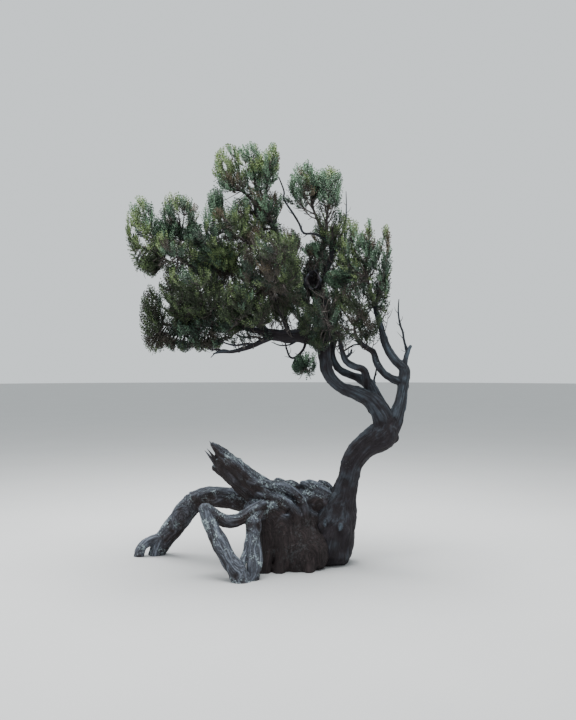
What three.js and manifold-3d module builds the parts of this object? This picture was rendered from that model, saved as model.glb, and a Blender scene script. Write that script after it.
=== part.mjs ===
// A wind-trained tree heath: an old, leaning, evergreen tree with needle leaves, on a swollen woody
// stump that carries a splintered dead log and three limbs that arch down to the ground.
// Millimetres, +Z up, +X to the windward side. The origin is the middle of the trunk's flat foot.
import * as THREE from "three";
import { mergeVertices } from "three/addons/utils/BufferGeometryUtils.js";
import Module from "manifold-3d";

const wasm = await Module();
wasm.setup();

// Fit and facets
const CLEARANCE = 0.4; // between neighbouring solids
const GROUND_SIZE = 6000; // the block that cuts every foot flat at Z = 0
const LIMB_SIDES = 7;
const OVAL = 0.07; // how far a limb's section is out of round
const GRAIN_TWIST = 0.9; // radians that the oval section turns over each span

// Twigs and sprays
const STEM_GIRTH = [17, 13, 0]; // radius of a mass's stem at its bough, midway and at its heart
const HEART = 0.3; // how far the stem stops short of the middle of its mass, as a share
const TWIG_GIRTH = [8, 6, 0];
const TWIG_FORKS = [0.3, 0.85]; // where the lowest and the highest twig leave the stem
const TWIG_REACH = 0.8; // of the way from the middle of a mass to its edge
const TWIG_SHRINKS = [1, 0.85, 0.7, 0.5]; // a twig is shortened until it keeps to its space
const TWIG_TESTS = [0.15, 0.3, 0.5, 0.7, 0.85, 1]; // shares of a twig where it must be in its space
const DROOP = 0.45; // how far below the middle the lowest twigs aim
const SAG = 0.24; // how far a twig sags before it turns up, as a share of its length
const SPRAYS_PER_TWIG = 3;
const SPRAY_SHARES = [0.62, 0.9]; // where the first and the last spray leave a twig
const SPRAY_SIZE = 1.05; // the length of a spray, as a share of its mass's middling half size
const SPRAY_LENGTHS = [160, 300]; // the shortest and the longest
const SPRAY_SHRINKS = [1, 0.85, 0.7, 0.55]; // a spray is shortened until it keeps to its space
const SPRAY_SWINGS = [0, 0.6, -0.6]; // radians round its twig that a spray tries
const SPRAY_TESTS = [0.3, 0.55, 0.8, 1]; // shares of a spray that keep clear of others
const SPRAY_GAP = 0.16; // of its length, kept free round a spray
const SPRAY_THICKNESS = 0.07; // of its length
const SPLAY = 1.4; // how far a side spray leans out from its twig
const TILT = 0.6; // radians that a spray may be turned out of the others' plane
const LIFT = [-0.28, 0, 0.6]; // every spray turns up and to leeward
const SPACE_EDGE = 1.1; // how far out from its middle a mass may grow, in its half sizes
const CELL_MARGIN = 0.03; // kept free along its border with another mass, in the same measure
const LIMB_MARGIN = 9; // kept free between a twig and a limb
const CORE_ROUGHNESS = [0.88, 1.1]; // how far in and out a core's corners lie
const CORE_DETAIL = 1;
const GOLDEN_TURN = Math.PI * (3 - Math.sqrt(5));

const BARK = { color: 0x4a4243, roughness: 0.92, metalness: 0 };
const GREY_WOOD = { color: 0x71757a, roughness: 0.88, metalness: 0 };
const NEEDLES = { color: 0x4b5a2e, roughness: 0.8, metalness: 0 };

// Living wood. A limb is a route through a few points with a radius at each.
const LIMBS = {
  trunk: {
    sides: 12,
    route: [[-50, 0, -60], [-25, 0, 95], [10, 0, 265], [70, 0, 445], [120, 0, 585], [155, 0, 725],
      [208, 0, 880], [310, 5, 992], [448, 10, 1084], [500, 15, 1180]],
    girth: [130, 226, 222, 160, 106, 92, 95, 108, 130, 108],
    forks: [
      { route: [[475, 12, 1100], [470, 10, 1180], [443, 6, 1270]], girth: [96, 102, 88] },
      { route: [[465, 12, 1095], [525, 15, 1150], [570, 20, 1250]], girth: [88, 84, 68] },
    ],
  },
  left_limb: {
    rings: 2,
    route: [[443, 6, 1270], [355, 0, 1385], [240, -20, 1450], [100, -45, 1503], [-15, -65, 1615],
      [-45, -75, 1755]],
    girth: [88, 76, 60, 47, 50, 52],
  },
  level_bough: {
    rings: 2,
    route: [[-45, -75, 1755], [-55, -80, 1850], [-115, -80, 1915], [-225, -85, 1940], [-385, -95, 1940],
      [-535, -105, 1960]],
    girth: [52, 56, 60, 60, 54, 42],
  },
  right_limb: {
    rings: 2,
    route: [[570, 20, 1250], [605, 20, 1365], [628, 30, 1470], [641, 32, 1565], [643, 35, 1665]],
    girth: [68, 53, 46, 47, 44],
  },
  right_upper_limb: {
    route: [[643, 35, 1665], [570, 30, 1730], [508, 20, 1815], [470, 10, 1910], [440, 0, 2015],
      [395, -15, 2165], [350, -25, 2315]],
    girth: [44, 38, 34, 30, 28, 23, 16],
  },
  second_limb: {
    route: [[428, 30, 1390], [355, 70, 1510], [275, 90, 1570], [180, 100, 1610], [85, 105, 1660],
      [30, 115, 1760], [35, 160, 1930], [65, 230, 2085], [80, 310, 2205]],
    girth: [66, 52, 41, 35, 32, 29, 26, 21, 16],
  },
  third_limb: {
    route: [[330, 60, 1510], [295, 5, 1645], [215, -10, 1680], [135, -25, 1730], [100, -35, 1825],
      [80, -80, 1935]],
    girth: [40, 34, 28, 25, 22, 18],
  },
  fourth_limb: {
    route: [[625, 32, 1545], [550, 55, 1575], [475, 75, 1620], [415, 90, 1705], [380, 80, 1805],
      [305, 20, 1850], [225, -50, 1920]],
    girth: [39, 36, 33, 30, 28, 24, 18],
  },
  right_stub: {
    sides: 6,
    route: [[640, 35, 1640], [655, 25, 1755], [680, 15, 1825], [700, 10, 1865]],
    girth: [30, 22, 18, 12],
  },
  right_whip: {
    sides: 5,
    route: [[675, 15, 1800], [640, 0, 1895], [625, -10, 1980], [600, -20, 2045], [585, -25, 2150],
      [590, -25, 2260]],
    girth: [11, 10, 9, 9, 7, 4],
  },
  crown_stem: {
    route: [[-70, -80, 1880], [-45, -50, 2035], [-55, -20, 2200], [-110, 0, 2360], [-140, 10, 2515]],
    girth: [60, 60, 54, 44, 34],
    forks: [
      { route: [[-128, -5, 2340], [-140, -50, 2385], [-158, -105, 2418], [-168, -140, 2432]],
        girth: [36, 46, 62, 74] },
    ],
  },
  top_bough: {
    sides: 6,
    route: [[-85, -15, 2225], [-225, 10, 2420], [-345, 40, 2620], [-450, 60, 2815], [-545, 60, 3005],
      [-600, 50, 3110]],
    girth: [34, 30, 26, 23, 19, 14],
  },
  upper_right_bough: {
    sides: 6,
    route: [[-105, 0, 2330], [-50, 30, 2470], [10, 50, 2620], [5, 60, 2755], [-65, 65, 2870]],
    girth: [31, 27, 23, 20, 14],
  },
  back_bough: {
    sides: 6,
    route: [[-75, -25, 2140], [-195, 80, 2215], [-325, 190, 2270], [-470, 300, 2345]],
    girth: [29, 26, 22, 15],
  },
  back_left_bough: {
    sides: 6,
    route: [[-315, 185, 2265], [-565, 280, 2220], [-830, 370, 2225], [-950, 410, 2260]],
    girth: [21, 19, 15, 12],
  },
  left_upper_bough: {
    sides: 6,
    route: [[-515, -103, 1957], [-685, -60, 2105], [-860, -10, 2255], [-1035, 30, 2405],
      [-1210, 50, 2560], [-1350, 40, 2680]],
    girth: [30, 27, 24, 21, 17, 12],
  },
  left_lower_bough: {
    sides: 6,
    route: [[-500, -105, 1950], [-715, -115, 2010], [-895, -115, 2030], [-1065, -95, 2035],
      [-1275, -60, 2025]],
    girth: [27, 24, 22, 18, 12],
  },
  front_bough: {
    sides: 6,
    route: [[-345, -95, 1935], [-380, -165, 2035], [-430, -240, 2165], [-465, -300, 2260]],
    girth: [25, 22, 18, 13],
  },
  sweeping_bough: {
    sides: 6,
    route: [[-480, -105, 1945], [-580, -130, 1898], [-655, -155, 1858], [-740, -175, 1830],
      [-830, -190, 1808], [-915, -200, 1805], [-990, -205, 1790]],
    girth: [30, 25, 21, 18, 15, 12, 6],
  },
  hanging_twig: {
    sides: 5,
    route: [[-205, -90, 1925], [-230, -130, 1830], [-300, -140, 1760], [-345, -142, 1765],
      [-372, -135, 1830], [-385, -125, 1885]],
    girth: [14, 12, 10, 9, 8, 5],
  },
  bare_spire: {
    sides: 5,
    route: [[20, 60, 2660], [95, 100, 2800], [140, 105, 2950], [148, 102, 3080], [145, 100, 3210]],
    girth: [12, 10, 7, 5, 3],
  },
  bare_whip: {
    sides: 5,
    route: [[0, 60, 2760], [-125, 20, 2825], [-225, 0, 2830], [-265, -10, 2910], [-320, -15, 3000],
      [-395, -20, 3115], [-395, -25, 3185], [-440, -60, 3300]],
    girth: [13, 11, 10, 9, 9, 8, 7, 5],
  },
};

// The stump. A lump is an uneven ball with its own half sizes; a limb there is dead or grey wood.
const STUMP_LUMPS = [
  { centre: [-320, 10, 270], half: [285, 270, 315], detail: 2 },
  { centre: [-150, 20, 540], half: [165, 165, 125] },
  { centre: [-560, -130, 440], half: [185, 195, 175] },
  { centre: [-280, -180, 130], half: [260, 205, 230] },
  { centre: [-345, 0, 640], half: [95, 85, 70] },
];
const STUMP_UNEVEN = 0.07; // how far a lump swells and sinks, as a share of its size
const SPLINTERS = { count: 5, length: [55, 110], girth: 24, spread: 0.6 };

const GREY_LIMBS = {
  dead_log: {
    sides: 9,
    route: [[-400, -75, 460], [-530, -110, 565], [-665, -150, 680], [-780, -180, 780], [-885, -203, 872],
      [-925, -212, 908]],
    girth: [150, 134, 116, 106, 96, 88],
  },
  arched_span: {
    route: [[-550, 0, 465], [-715, 30, 510], [-900, 80, 540], [-1080, 140, 538], [-1190, 180, 490]],
    girth: [104, 96, 90, 86, 90],
  },
  arched_leg: {
    route: [[-1190, 180, 490], [-1280, 215, 385], [-1375, 250, 250], [-1470, 280, 130], [-1560, 300, -30]],
    girth: [90, 92, 92, 82, 62],
    forks: [
      { route: [[-1430, 265, 180], [-1580, 240, 130], [-1655, 225, 80], [-1700, 215, -50]],
        girth: [46, 38, 34, 38] },
    ],
  },
  loop_arm: {
    route: [[-560, -280, 545], [-670, -390, 500], [-760, -440, 447], [-865, -490, 445], [-960, -530, 510],
      [-1020, -550, 560]],
    girth: [46, 46, 52, 52, 46, 48],
  },
  loop_leg: {
    route: [[-1032, -553, 572], [-990, -565, 450], [-925, -590, 315], [-850, -615, 190], [-770, -640, 85],
      [-720, -655, -40]],
    girth: [46, 50, 54, 60, 69, 76],
  },
  prop_limb: {
    route: [[-600, -280, 520], [-645, -420, 425], [-635, -480, 320], [-655, -530, 220], [-640, -575, 120],
      [-640, -600, -30]],
    girth: [56, 56, 48, 41, 44, 56],
  },
};

// Foliage. Each mass keeps to a leaning oval space, less what lies nearer to another mass's middle.
// bough and at say where its stem leaves, and lean tilts its top to leeward, in degrees.
const MASSES = {
  far_left_crest: {
    bough: "left_upper_bough", at: 1.0, lean: 6, seed: 1, twigs: 6, core: 0.92,
    centre: [-1595, -60, 2795], half: [165, 265, 370],
  },
  left_crest: {
    bough: "left_upper_bough", at: 0.9, lean: 4, seed: 2, twigs: 7, core: 0.92,
    centre: [-1300, 130, 2920], half: [185, 285, 320],
  },
  left_under: {
    bough: "left_upper_bough", at: 0.78, lean: -28, seed: 3, twigs: 5, core: 0.88,
    centre: [-1305, -170, 2610], half: [285, 255, 180],
  },
  left_shelf: {
    bough: "left_lower_bough", at: 0.62, lean: -14, seed: 4, twigs: 6, core: 0.92,
    centre: [-1140, -260, 2305], half: [295, 295, 225],
  },
  far_left_skirt: {
    bough: "left_lower_bough", at: 1.0, lean: 4, seed: 5, twigs: 8, core: 0.92,
    centre: [-1515, -40, 2065], half: [110, 245, 310],
  },
  left_skirt: {
    bough: "left_lower_bough", at: 0.8, lean: 0, seed: 6, twigs: 7, core: 0.92,
    centre: [-1170, -40, 1965], half: [330, 285, 185],
  },
  left_back: {
    bough: "back_left_bough", at: 1.0, lean: 0, seed: 7, twigs: 6, core: 0.92,
    centre: [-1165, 470, 2445], half: [360, 340, 385],
  },
  centre_low: {
    bough: "left_lower_bough", at: 0.25, lean: 0, seed: 8, twigs: 6, core: 0.92,
    centre: [-705, -380, 2195], half: [235, 295, 205],
  },
  centre_front: {
    bough: "front_bough", at: 1.0, lean: 0, seed: 9, twigs: 7, core: 0.92,
    centre: [-490, -420, 2470], half: [290, 325, 345],
  },
  centre_upper: {
    bough: "top_bough", at: 0.4, lean: 0, seed: 10, twigs: 6, core: 0.92,
    centre: [-865, -150, 2800], half: [285, 275, 300],
  },
  upper_back: {
    bough: "top_bough", at: 0.5, lean: 0, seed: 11, twigs: 5, core: 0.92,
    centre: [-780, 390, 2915], half: [305, 265, 330],
  },
  centre_back: {
    bough: "back_bough", at: 1.0, lean: 0, seed: 12, twigs: 5, core: 0.92,
    centre: [-580, 520, 2510], half: [390, 340, 410],
  },
  top_left: {
    bough: "top_bough", at: 0.76, lean: 5, seed: 13, twigs: 7, core: 0.92,
    centre: [-860, -40, 3300], half: [152, 255, 285],
  },
  top_middle: {
    bough: "top_bough", at: 1.0, lean: 2, seed: 14, twigs: 6, core: 0.92,
    centre: [-680, 90, 3365], half: [140, 245, 275],
  },
  top_right: {
    bough: "top_bough", at: 0.87, lean: -6, seed: 15, twigs: 5, core: 0.8,
    centre: [-505, -20, 3375], half: [80, 210, 240],
  },
  middle_top: {
    bough: "top_bough", at: 0.6, lean: 0, seed: 16, twigs: 5, core: 0.92,
    centre: [-585, 40, 3000], half: [240, 255, 240],
  },
  upper_right: {
    bough: "upper_right_bough", at: 1.0, lean: 3, seed: 17, twigs: 7, core: 0.92,
    centre: [-205, 60, 3195], half: [165, 280, 292],
  },
  upper_right_edge: {
    bough: "upper_right_bough", at: 0.86, lean: -6, seed: 25, twigs: 6, core: 0.92,
    centre: [-15, 40, 3145], half: [132, 255, 300],
  },
  right_shoulder: {
    bough: "upper_right_bough", at: 0.7, lean: 10, seed: 18, twigs: 7, core: 0.8,
    centre: [60, 170, 2795], half: [205, 265, 255],
  },
  right_crown: {
    bough: "right_upper_limb", at: 1.0, lean: 0, seed: 19, twigs: 7, core: 0.92,
    centre: [270, -40, 2630], half: [215, 275, 345],
  },
  right_edge: {
    bough: "right_upper_limb", at: 0.85, lean: -3, seed: 20, twigs: 6, core: 0.8,
    centre: [480, 40, 2445], half: [85, 235, 475],
  },
  right_low: {
    bough: "fourth_limb", at: 1.0, lean: 0, seed: 21, twigs: 6, core: 0.92,
    centre: [190, -150, 2110], half: [235, 265, 270],
  },
  inner_right: {
    bough: "third_limb", at: 1.0, lean: 0, seed: 22, twigs: 5, core: 0.92,
    centre: [-110, -250, 2115], half: [195, 265, 255],
  },
  right_back: {
    bough: "second_limb", at: 1.0, lean: 0, seed: 23, twigs: 6, core: 0.92,
    centre: [85, 470, 2490], half: [370, 320, 455],
  },
  hanging_tuft: {
    bough: "hanging_twig", at: 0.3, lean: 0, seed: 24, twigs: 3,
    centre: [-215, -145, 1685], half: [105, 105, 115],
  },
};

// Numbers that look random and are the same every time.
class Dice {
  constructor(seed) {
    this.state = (seed * 7919 + 17) % 4294967296;
    this.roll();
  }
  roll() {
    this.state = (this.state * 1664525 + 1013904223) % 4294967296;
    return this.state / 4294967296;
  }
  between(low, high) {
    return low + (high - low) * this.roll();
  }
}

const vector = (p) => new THREE.Vector3(...p);

// three.js geometry to a manifold solid, and back.
function toSolid(geometry) {
  const bare = geometry.clone();
  bare.deleteAttribute("normal");
  bare.deleteAttribute("uv");
  const merged = mergeVertices(bare, 1e-4);
  return new wasm.Manifold(
    new wasm.Mesh({
      numProp: 3,
      vertProperties: new Float32Array(merged.attributes.position.array),
      triVerts: new Uint32Array(merged.index.array),
    }),
  );
}

function toGeometry(solid) {
  const mesh = solid.getMesh();
  const places = new Float32Array(mesh.numVert * 3);
  for (let i = 0; i < mesh.numVert; i++) {
    places.set(mesh.vertProperties.subarray(i * mesh.numProp, i * mesh.numProp + 3), i * 3);
  }
  return new THREE.BufferGeometry()
    .setAttribute("position", new THREE.BufferAttribute(places, 3))
    .setIndex(new THREE.BufferAttribute(new Uint32Array(mesh.triVerts), 1));
}

const joined = (solids) => solids.reduce((whole, solid) => whole.add(solid));

// The largest piece of a solid. Loose scraps are dropped and sealed hollows are filled.
function mainPiece(solid) {
  const pieces = solid.decompose();
  return pieces.reduce((best, piece) => (piece.volume() > best.volume() ? piece : best));
}

function boxesMeet(a, b) {
  const one = a.boundingBox();
  const two = b.boundingBox();
  return [0, 1, 2].every((k) => one.min[k] <= two.max[k] && two.min[k] <= one.max[k]);
}

// A smooth curve through a limb's points, and its radius at a share of the way along.
function curveOf(limb) {
  return new THREE.CatmullRomCurve3(limb.route.map(vector), false, "catmullrom", 0.5);
}

function girthAt(girth, share) {
  const place = share * (girth.length - 1);
  const before = Math.min(Math.floor(place), girth.length - 2);
  return THREE.MathUtils.lerp(girth[before], girth[before + 1], place - before);
}

// A closed tapering tube, or a pointed one where its last radius is 0. steps is its number of rings
// less one, and grow widens it all round.
function tubeGeometry({ curve, girth, sides, steps, grow = 0, oval = 0, twist = 0 }) {
  const tube = new THREE.CylinderGeometry(Math.sign(girth.at(-1)), 1, 1, sides, steps);
  const rings = [];
  let across = new THREE.Vector3(0, 1, 0.2);
  for (let i = 0; i <= steps; i++) {
    const share = i / steps;
    const along = curve.getTangent(share).normalize();
    across = across.clone().addScaledVector(along, -across.dot(along)).normalize();
    const middle = curve.getPoint(share);
    if (i === 0) middle.addScaledVector(along, -grow);
    if (i === steps) middle.addScaledVector(along, grow);
    rings.push({ middle, across, other: across.clone().cross(along), share });
  }
  const place = tube.attributes.position;
  const corner = new THREE.Vector3();
  for (let i = 0; i < place.count; i++) {
    corner.fromBufferAttribute(place, i);
    const ring = rings[Math.round((corner.y + 0.5) * steps)];
    const out = Math.hypot(corner.x, corner.z);
    const angle = Math.atan2(corner.z, corner.x);
    const wave = 1 + oval * Math.cos(2 * angle - twist * ring.share);
    const radius = out < 0.01 ? 0 : girthAt(girth, ring.share) * wave + grow;
    corner
      .copy(ring.middle)
      .addScaledVector(ring.across, radius * Math.cos(angle))
      .addScaledVector(ring.other, radius * Math.sin(angle));
    place.setXYZ(i, corner.x, corner.y, corner.z);
  }
  return tube;
}

function limbSolid(limb, grow = 0) {
  const spans = limb.route.length - 1;
  return toSolid(
    tubeGeometry({
      curve: curveOf(limb),
      girth: limb.girth,
      sides: limb.sides ?? LIMB_SIDES,
      steps: spans * (limb.rings ?? 1),
      grow,
      oval: OVAL,
      twist: spans * GRAIN_TWIST,
    }),
  );
}

// An uneven ball: unit directions on an icosahedron, each at its own distance.
function lumpSolid(lump, grow) {
  const ball = new THREE.IcosahedronGeometry(1, lump.detail ?? 1);
  const place = ball.attributes.position;
  const out = new THREE.Vector3();
  for (let i = 0; i < place.count; i++) {
    out.fromBufferAttribute(place, i).normalize();
    const ripple = Math.sin(4.1 * out.x + 2.3 * out.z) * Math.cos(3.7 * out.y - 1.9 * out.z);
    const swell = 1 + STUMP_UNEVEN * ripple;
    const reach = lump.half.map((h) => h * swell + grow);
    place.setXYZ(
      i,
      lump.centre[0] + out.x * reach[0],
      lump.centre[1] + out.y * reach[1],
      lump.centre[2] + out.z * reach[2],
    );
  }
  return toSolid(ball);
}

// Splinters at the broken end of the dead log, sunk well into it.
function splinterLimbs(log) {
  const curve = curveOf(log);
  const end = curve.getPoint(1);
  const along = curve.getTangent(1).normalize();
  const up = new THREE.Vector3(0, 0, 1);
  const side = up.clone().cross(along).normalize();
  const rise = along.clone().cross(side);
  const radius = log.girth.at(-1);
  const dice = new Dice(5);
  return Array.from({ length: SPLINTERS.count }, (_, i) => {
    const angle = (i / SPLINTERS.count) * 2 * Math.PI;
    const out = i === 0 ? 0 : radius * SPLINTERS.spread;
    const root = end
      .clone()
      .addScaledVector(side, out * Math.cos(angle))
      .addScaledVector(rise, out * Math.sin(angle));
    const length = dice.between(...SPLINTERS.length) * (1 + 0.4 * Math.sin(angle));
    return {
      sides: 4,
      route: [
        root.clone().addScaledVector(along, -60).toArray(),
        root.clone().addScaledVector(along, length * 0.3).toArray(),
        root.clone().addScaledVector(along, length).addScaledVector(rise, 8).toArray(),
      ],
      girth: [SPLINTERS.girth * 1.25, SPLINTERS.girth, 2.5],
    };
  });
}

// Every wooden node: the tubes and lumps that it is joined from, widened by grow.
function woodShapes() {
  const shapes = {};
  const fromLimb = (limb, more = []) => (grow) =>
    joined([limb, ...(limb.forks ?? []), ...more].map((part) => limbSolid(part, grow)));
  shapes.trunk = { make: fromLimb(LIMBS.trunk), look: BARK };
  shapes.stump = {
    make: (grow) => joined(STUMP_LUMPS.map((lump) => lumpSolid(lump, grow))),
    look: GREY_WOOD,
  };
  for (const [name, limb] of Object.entries(GREY_LIMBS)) {
    const more = name === "dead_log" ? splinterLimbs(limb) : [];
    shapes[name] = { make: fromLimb(limb, more), look: GREY_WOOD };
  }
  for (const [name, limb] of Object.entries(LIMBS)) {
    shapes[name] ??= { make: fromLimb(limb), look: BARK };
  }
  return shapes;
}

const ground = toSolid(
  new THREE.BoxGeometry(GROUND_SIZE, GROUND_SIZE, GROUND_SIZE).translate(0, 0, -GROUND_SIZE / 2),
);

// Cuts each wooden solid at the ground and clear of every solid that was made before it.
function growWood() {
  const made = [];
  for (const [name, { make, look }] of Object.entries(woodShapes())) {
    let solid = make(0);
    if (solid.boundingBox().min[2] < 0) solid = solid.subtract(ground);
    for (const earlier of made) {
      if (boxesMeet(solid, earlier.wide)) solid = solid.subtract(earlier.wide);
    }
    made.push({ name, look, solid: mainPiece(solid), wide: make(CLEARANCE) });
  }
  return made;
}

// Middle points and radii along every living limb, for twigs to keep away from.
const limbSamples = Object.values(LIMBS).flatMap((limb) =>
  [limb, ...(limb.forks ?? [])].flatMap((part) => {
    const curve = curveOf(part);
    const count = Math.ceil(curve.getLength() / 25);
    return Array.from({ length: count + 1 }, (_, i) => ({
      middle: curve.getPoint(i / count),
      radius: girthAt(part.girth, i / count),
    }));
  }),
);

function nearLimb(point, radius) {
  return limbSamples.some(
    (s) => s.middle.distanceTo(point) < s.radius * (1 + OVAL) + radius + LIMB_MARGIN,
  );
}

// The two leaning axes of a mass, and how far a point is from its middle: 1 is its edge.
function axesOf(mass) {
  const lean = THREE.MathUtils.degToRad(mass.lean);
  return {
    across: new THREE.Vector3(Math.cos(lean), 0, Math.sin(lean)),
    deep: new THREE.Vector3(0, 1, 0),
    up: new THREE.Vector3(-Math.sin(lean), 0, Math.cos(lean)),
  };
}

function awayFrom(mass, point) {
  const { across, deep, up } = axesOf(mass);
  const offset = point.clone().sub(vector(mass.centre));
  return Math.hypot(
    offset.dot(across) / mass.half[0],
    offset.dot(deep) / mass.half[1],
    offset.dot(up) / mass.half[2],
  );
}

function ownsPoint(mass, point) {
  const own = awayFrom(mass, point);
  if (own > SPACE_EDGE) return false;
  return Object.values(MASSES).every(
    (other) => other === mass || awayFrom(other, point) > own + CELL_MARGIN,
  );
}

const isFree = (mass, point, radius) => ownsPoint(mass, point) && !nearLimb(point, radius);

// A point of a mass's space from a direction in it: length 1 is its edge.
function placeIn(mass, direction) {
  const { across, deep, up } = axesOf(mass);
  return vector(mass.centre)
    .addScaledVector(across, direction.x * mass.half[0])
    .addScaledVector(deep, direction.y * mass.half[1])
    .addScaledVector(up, direction.z * mass.half[2]);
}

function stemOf(mass) {
  const bough = curveOf(LIMBS[mass.bough]);
  const root = bough.getPoint(mass.at);
  const heart = vector(mass.centre).lerp(root, HEART);
  const bend = root.clone().lerp(heart, 0.5).addScaledVector(bough.getTangent(mass.at), 25);
  return new THREE.QuadraticBezierCurve3(root, bend, heart);
}

// The rule of growth: twigs fork from the stem, aim round the mass by the golden angle, sag and turn
// up, and each carries side sprays and one at its tip.
function growTwigs(mass) {
  const stem = stemOf(mass);
  const twigs = [];
  for (let i = 0; i < mass.twigs; i++) {
    const dice = new Dice(mass.seed * 101 + i);
    const height = 1 - ((i + 0.5) / mass.twigs) * (1 + DROOP);
    const turn = i * GOLDEN_TURN + dice.between(-0.3, 0.3);
    const level = Math.sqrt(1 - height * height);
    const aim = new THREE.Vector3(level * Math.cos(turn), level * Math.sin(turn), height);
    const tip = placeIn(mass, aim.multiplyScalar(TWIG_REACH * dice.between(0.9, 1.05)));
    const fork = stem.getPoint(THREE.MathUtils.lerp(...TWIG_FORKS, 1 - i / mass.twigs));
    const swing = dice.between(0, Math.PI);
    const rolls = Array.from({ length: SPRAYS_PER_TWIG }, () => [dice.roll(), dice.roll()]);
    const path = TWIG_SHRINKS.map((size) => twigPath(fork, fork.clone().lerp(tip, size))).find(
      (candidate) =>
        TWIG_TESTS.every((share) => isFree(mass, candidate.getPoint(share), TWIG_GIRTH[0])),
    );
    if (!path) continue;
    twigs.push({ path, sprays: rolls.map((roll, j) => growSpray(mass, path, swing, j, roll)) });
  }
  return twigs;
}

function twigPath(fork, tip) {
  const bend = fork.clone().lerp(tip, 0.55);
  bend.z -= fork.distanceTo(tip) * SAG;
  return new THREE.QuadraticBezierCurve3(fork, bend, tip);
}

// Every way that one spray of a twig may grow, the best first. The sprays of a twig lie about flat
// together, on its left and right by turns and the last at its tip.
function growSpray(mass, path, swing, j, [stretch, tilt]) {
  const last = j === SPRAYS_PER_TWIG - 1;
  const share = THREE.MathUtils.lerp(...SPRAY_SHARES, j / (SPRAYS_PER_TWIG - 1));
  const middling = Math.cbrt(mass.half[0] * mass.half[1] * mass.half[2]);
  const usual = THREE.MathUtils.clamp(middling * SPRAY_SIZE, ...SPRAY_LENGTHS);
  const length = usual * (0.85 + 0.3 * stretch);
  return SPRAY_SWINGS.flatMap((extra) => {
    const along = path.getTangent(share).normalize();
    const side = new THREE.Vector3(0, 0, 1).cross(along).normalize();
    side.applyAxisAngle(along, swing + j * Math.PI + extra);
    const normal = along.clone().cross(side);
    const aim = along.addScaledVector(side, last ? 0 : SPLAY).add(vector(LIFT)).normalize();
    const flat = normal.cross(aim).normalize().applyAxisAngle(aim, (tilt - 0.5) * TILT);
    return SPRAY_SHRINKS.map((size) => ({
      root: path.getPoint(share), aim, flat, length: length * size,
    }));
  });
}

// A spray of needles: a thin toothed blade, thickest along its middle. Each point of its outline is
// a share of its length along it and across it.
const SPRAY_OUTLINE = [[0, 0], [0.36, 0.3], [0.53, 0.13], [1, 0], [0.76, -0.27], [0.5, -0.11]];
const SPRAY_MIDDLE = 0.46;

function bladeOf({ root, aim, flat, length }) {
  const thick = aim.clone().cross(flat);
  const at = (along, across, through) =>
    root
      .clone()
      .addScaledVector(aim, along * length)
      .addScaledVector(flat, across * length)
      .addScaledVector(thick, through * length);
  return {
    rim: SPRAY_OUTLINE.map(([along, across]) => at(along, across, 0)),
    crests: [0.5, -0.5].map((side) => at(SPRAY_MIDDLE, 0, side * SPRAY_THICKNESS)),
    line: SPRAY_TESTS.map((share) => at(share, 0, 0)),
    gap: SPRAY_GAP * length,
  };
}

function bladeSolid({ rim, crests }) {
  const corners = rim.flatMap((corner, i) => {
    const next = rim[(i + 1) % rim.length];
    return [crests[0], next, corner, crests[1], corner, next];
  });
  return toSolid(new THREE.BufferGeometry().setFromPoints(corners));
}

// The core of a dense mass, drawn in wherever it would leave the mass's own space.
function coreOf(mass) {
  const ball = new THREE.IcosahedronGeometry(1, CORE_DETAIL);
  const place = ball.attributes.position;
  const out = new THREE.Vector3();
  for (let i = 0; i < place.count; i++) {
    out.fromBufferAttribute(place, i).normalize();
    const whereabouts = 50 * (out.x + 1) + 700 * (out.y + 1) + 9000 * (out.z + 1);
    const dice = new Dice(mass.seed + Math.round(whereabouts));
    let size = mass.core * dice.between(...CORE_ROUGHNESS);
    while (!ownsPoint(mass, placeIn(mass, out.clone().multiplyScalar(size * 1.03)))) size *= 0.9;
    const corner = placeIn(mass, out.clone().multiplyScalar(size));
    place.setXYZ(i, corner.x, corner.y, corner.z);
  }
  return toSolid(ball);
}

const stemSolid = (mass, grow) =>
  toSolid(tubeGeometry({ curve: stemOf(mass), girth: STEM_GIRTH, sides: 5, steps: 2, grow }));

// One mass, cut clear of every limb and of the other masses' stems.
function growMass(mass, wood) {
  const parts = [stemSolid(mass, 0)];
  if (mass.core) parts.push(coreOf(mass));
  const taken = [];
  for (const { path, sprays } of growTwigs(mass)) {
    const twig = { curve: path, girth: TWIG_GIRTH, sides: 3, steps: 2 };
    parts.push(toSolid(tubeGeometry(twig)));
    for (const choices of sprays) {
      const blade = choices.map(bladeOf).find(
        ({ rim, line, gap }) =>
          rim.every((corner) => isFree(mass, corner, 0)) &&
          line.every((point) => taken.every((other) => other.distanceTo(point) > gap)),
      );
      if (!blade) continue;
      taken.push(...blade.line);
      parts.push(bladeSolid(blade));
    }
  }
  const others = Object.values(MASSES).filter((other) => other !== mass);
  const obstacles = wood.map(({ wide }) => wide).concat(
    others.map((other) => stemSolid(other, CLEARANCE)),
  );
  const cut = (solid, wide) => (boxesMeet(solid, wide) ? solid.subtract(wide) : solid);
  return mainPiece(obstacles.reduce(cut, joined(parts)));
}

const tree = new THREE.Group();
tree.name = "tree_heath";

function addNode(name, solid, look) {
  const mesh = new THREE.Mesh(toGeometry(solid), new THREE.MeshStandardMaterial(look));
  mesh.name = name;
  tree.add(mesh);
}

const wood = growWood();
for (const { name, solid, look } of wood) {
  addNode(name, solid, look);
}
for (const [name, mass] of Object.entries(MASSES)) {
  addNode(name, growMass(mass, wood), NEEDLES);
}

export default tree;
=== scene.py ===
"""Dresses the windswept tree heath.

One mesh with the bark's relief takes the place of the trunk and limbs, another of the stump and the
dead silvery limbs, and each foliage mass becomes finer twigs and needle shoots that grow by the same
rule as the plain solids. Metres, +Z up, +X to windward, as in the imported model. Routes and sizes are
kept in millimetres, as in the part's source, and turned to metres where they are used.
"""

from __future__ import annotations

import logging
import math
from dataclasses import dataclass, field
from enum import Enum, IntEnum

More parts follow.
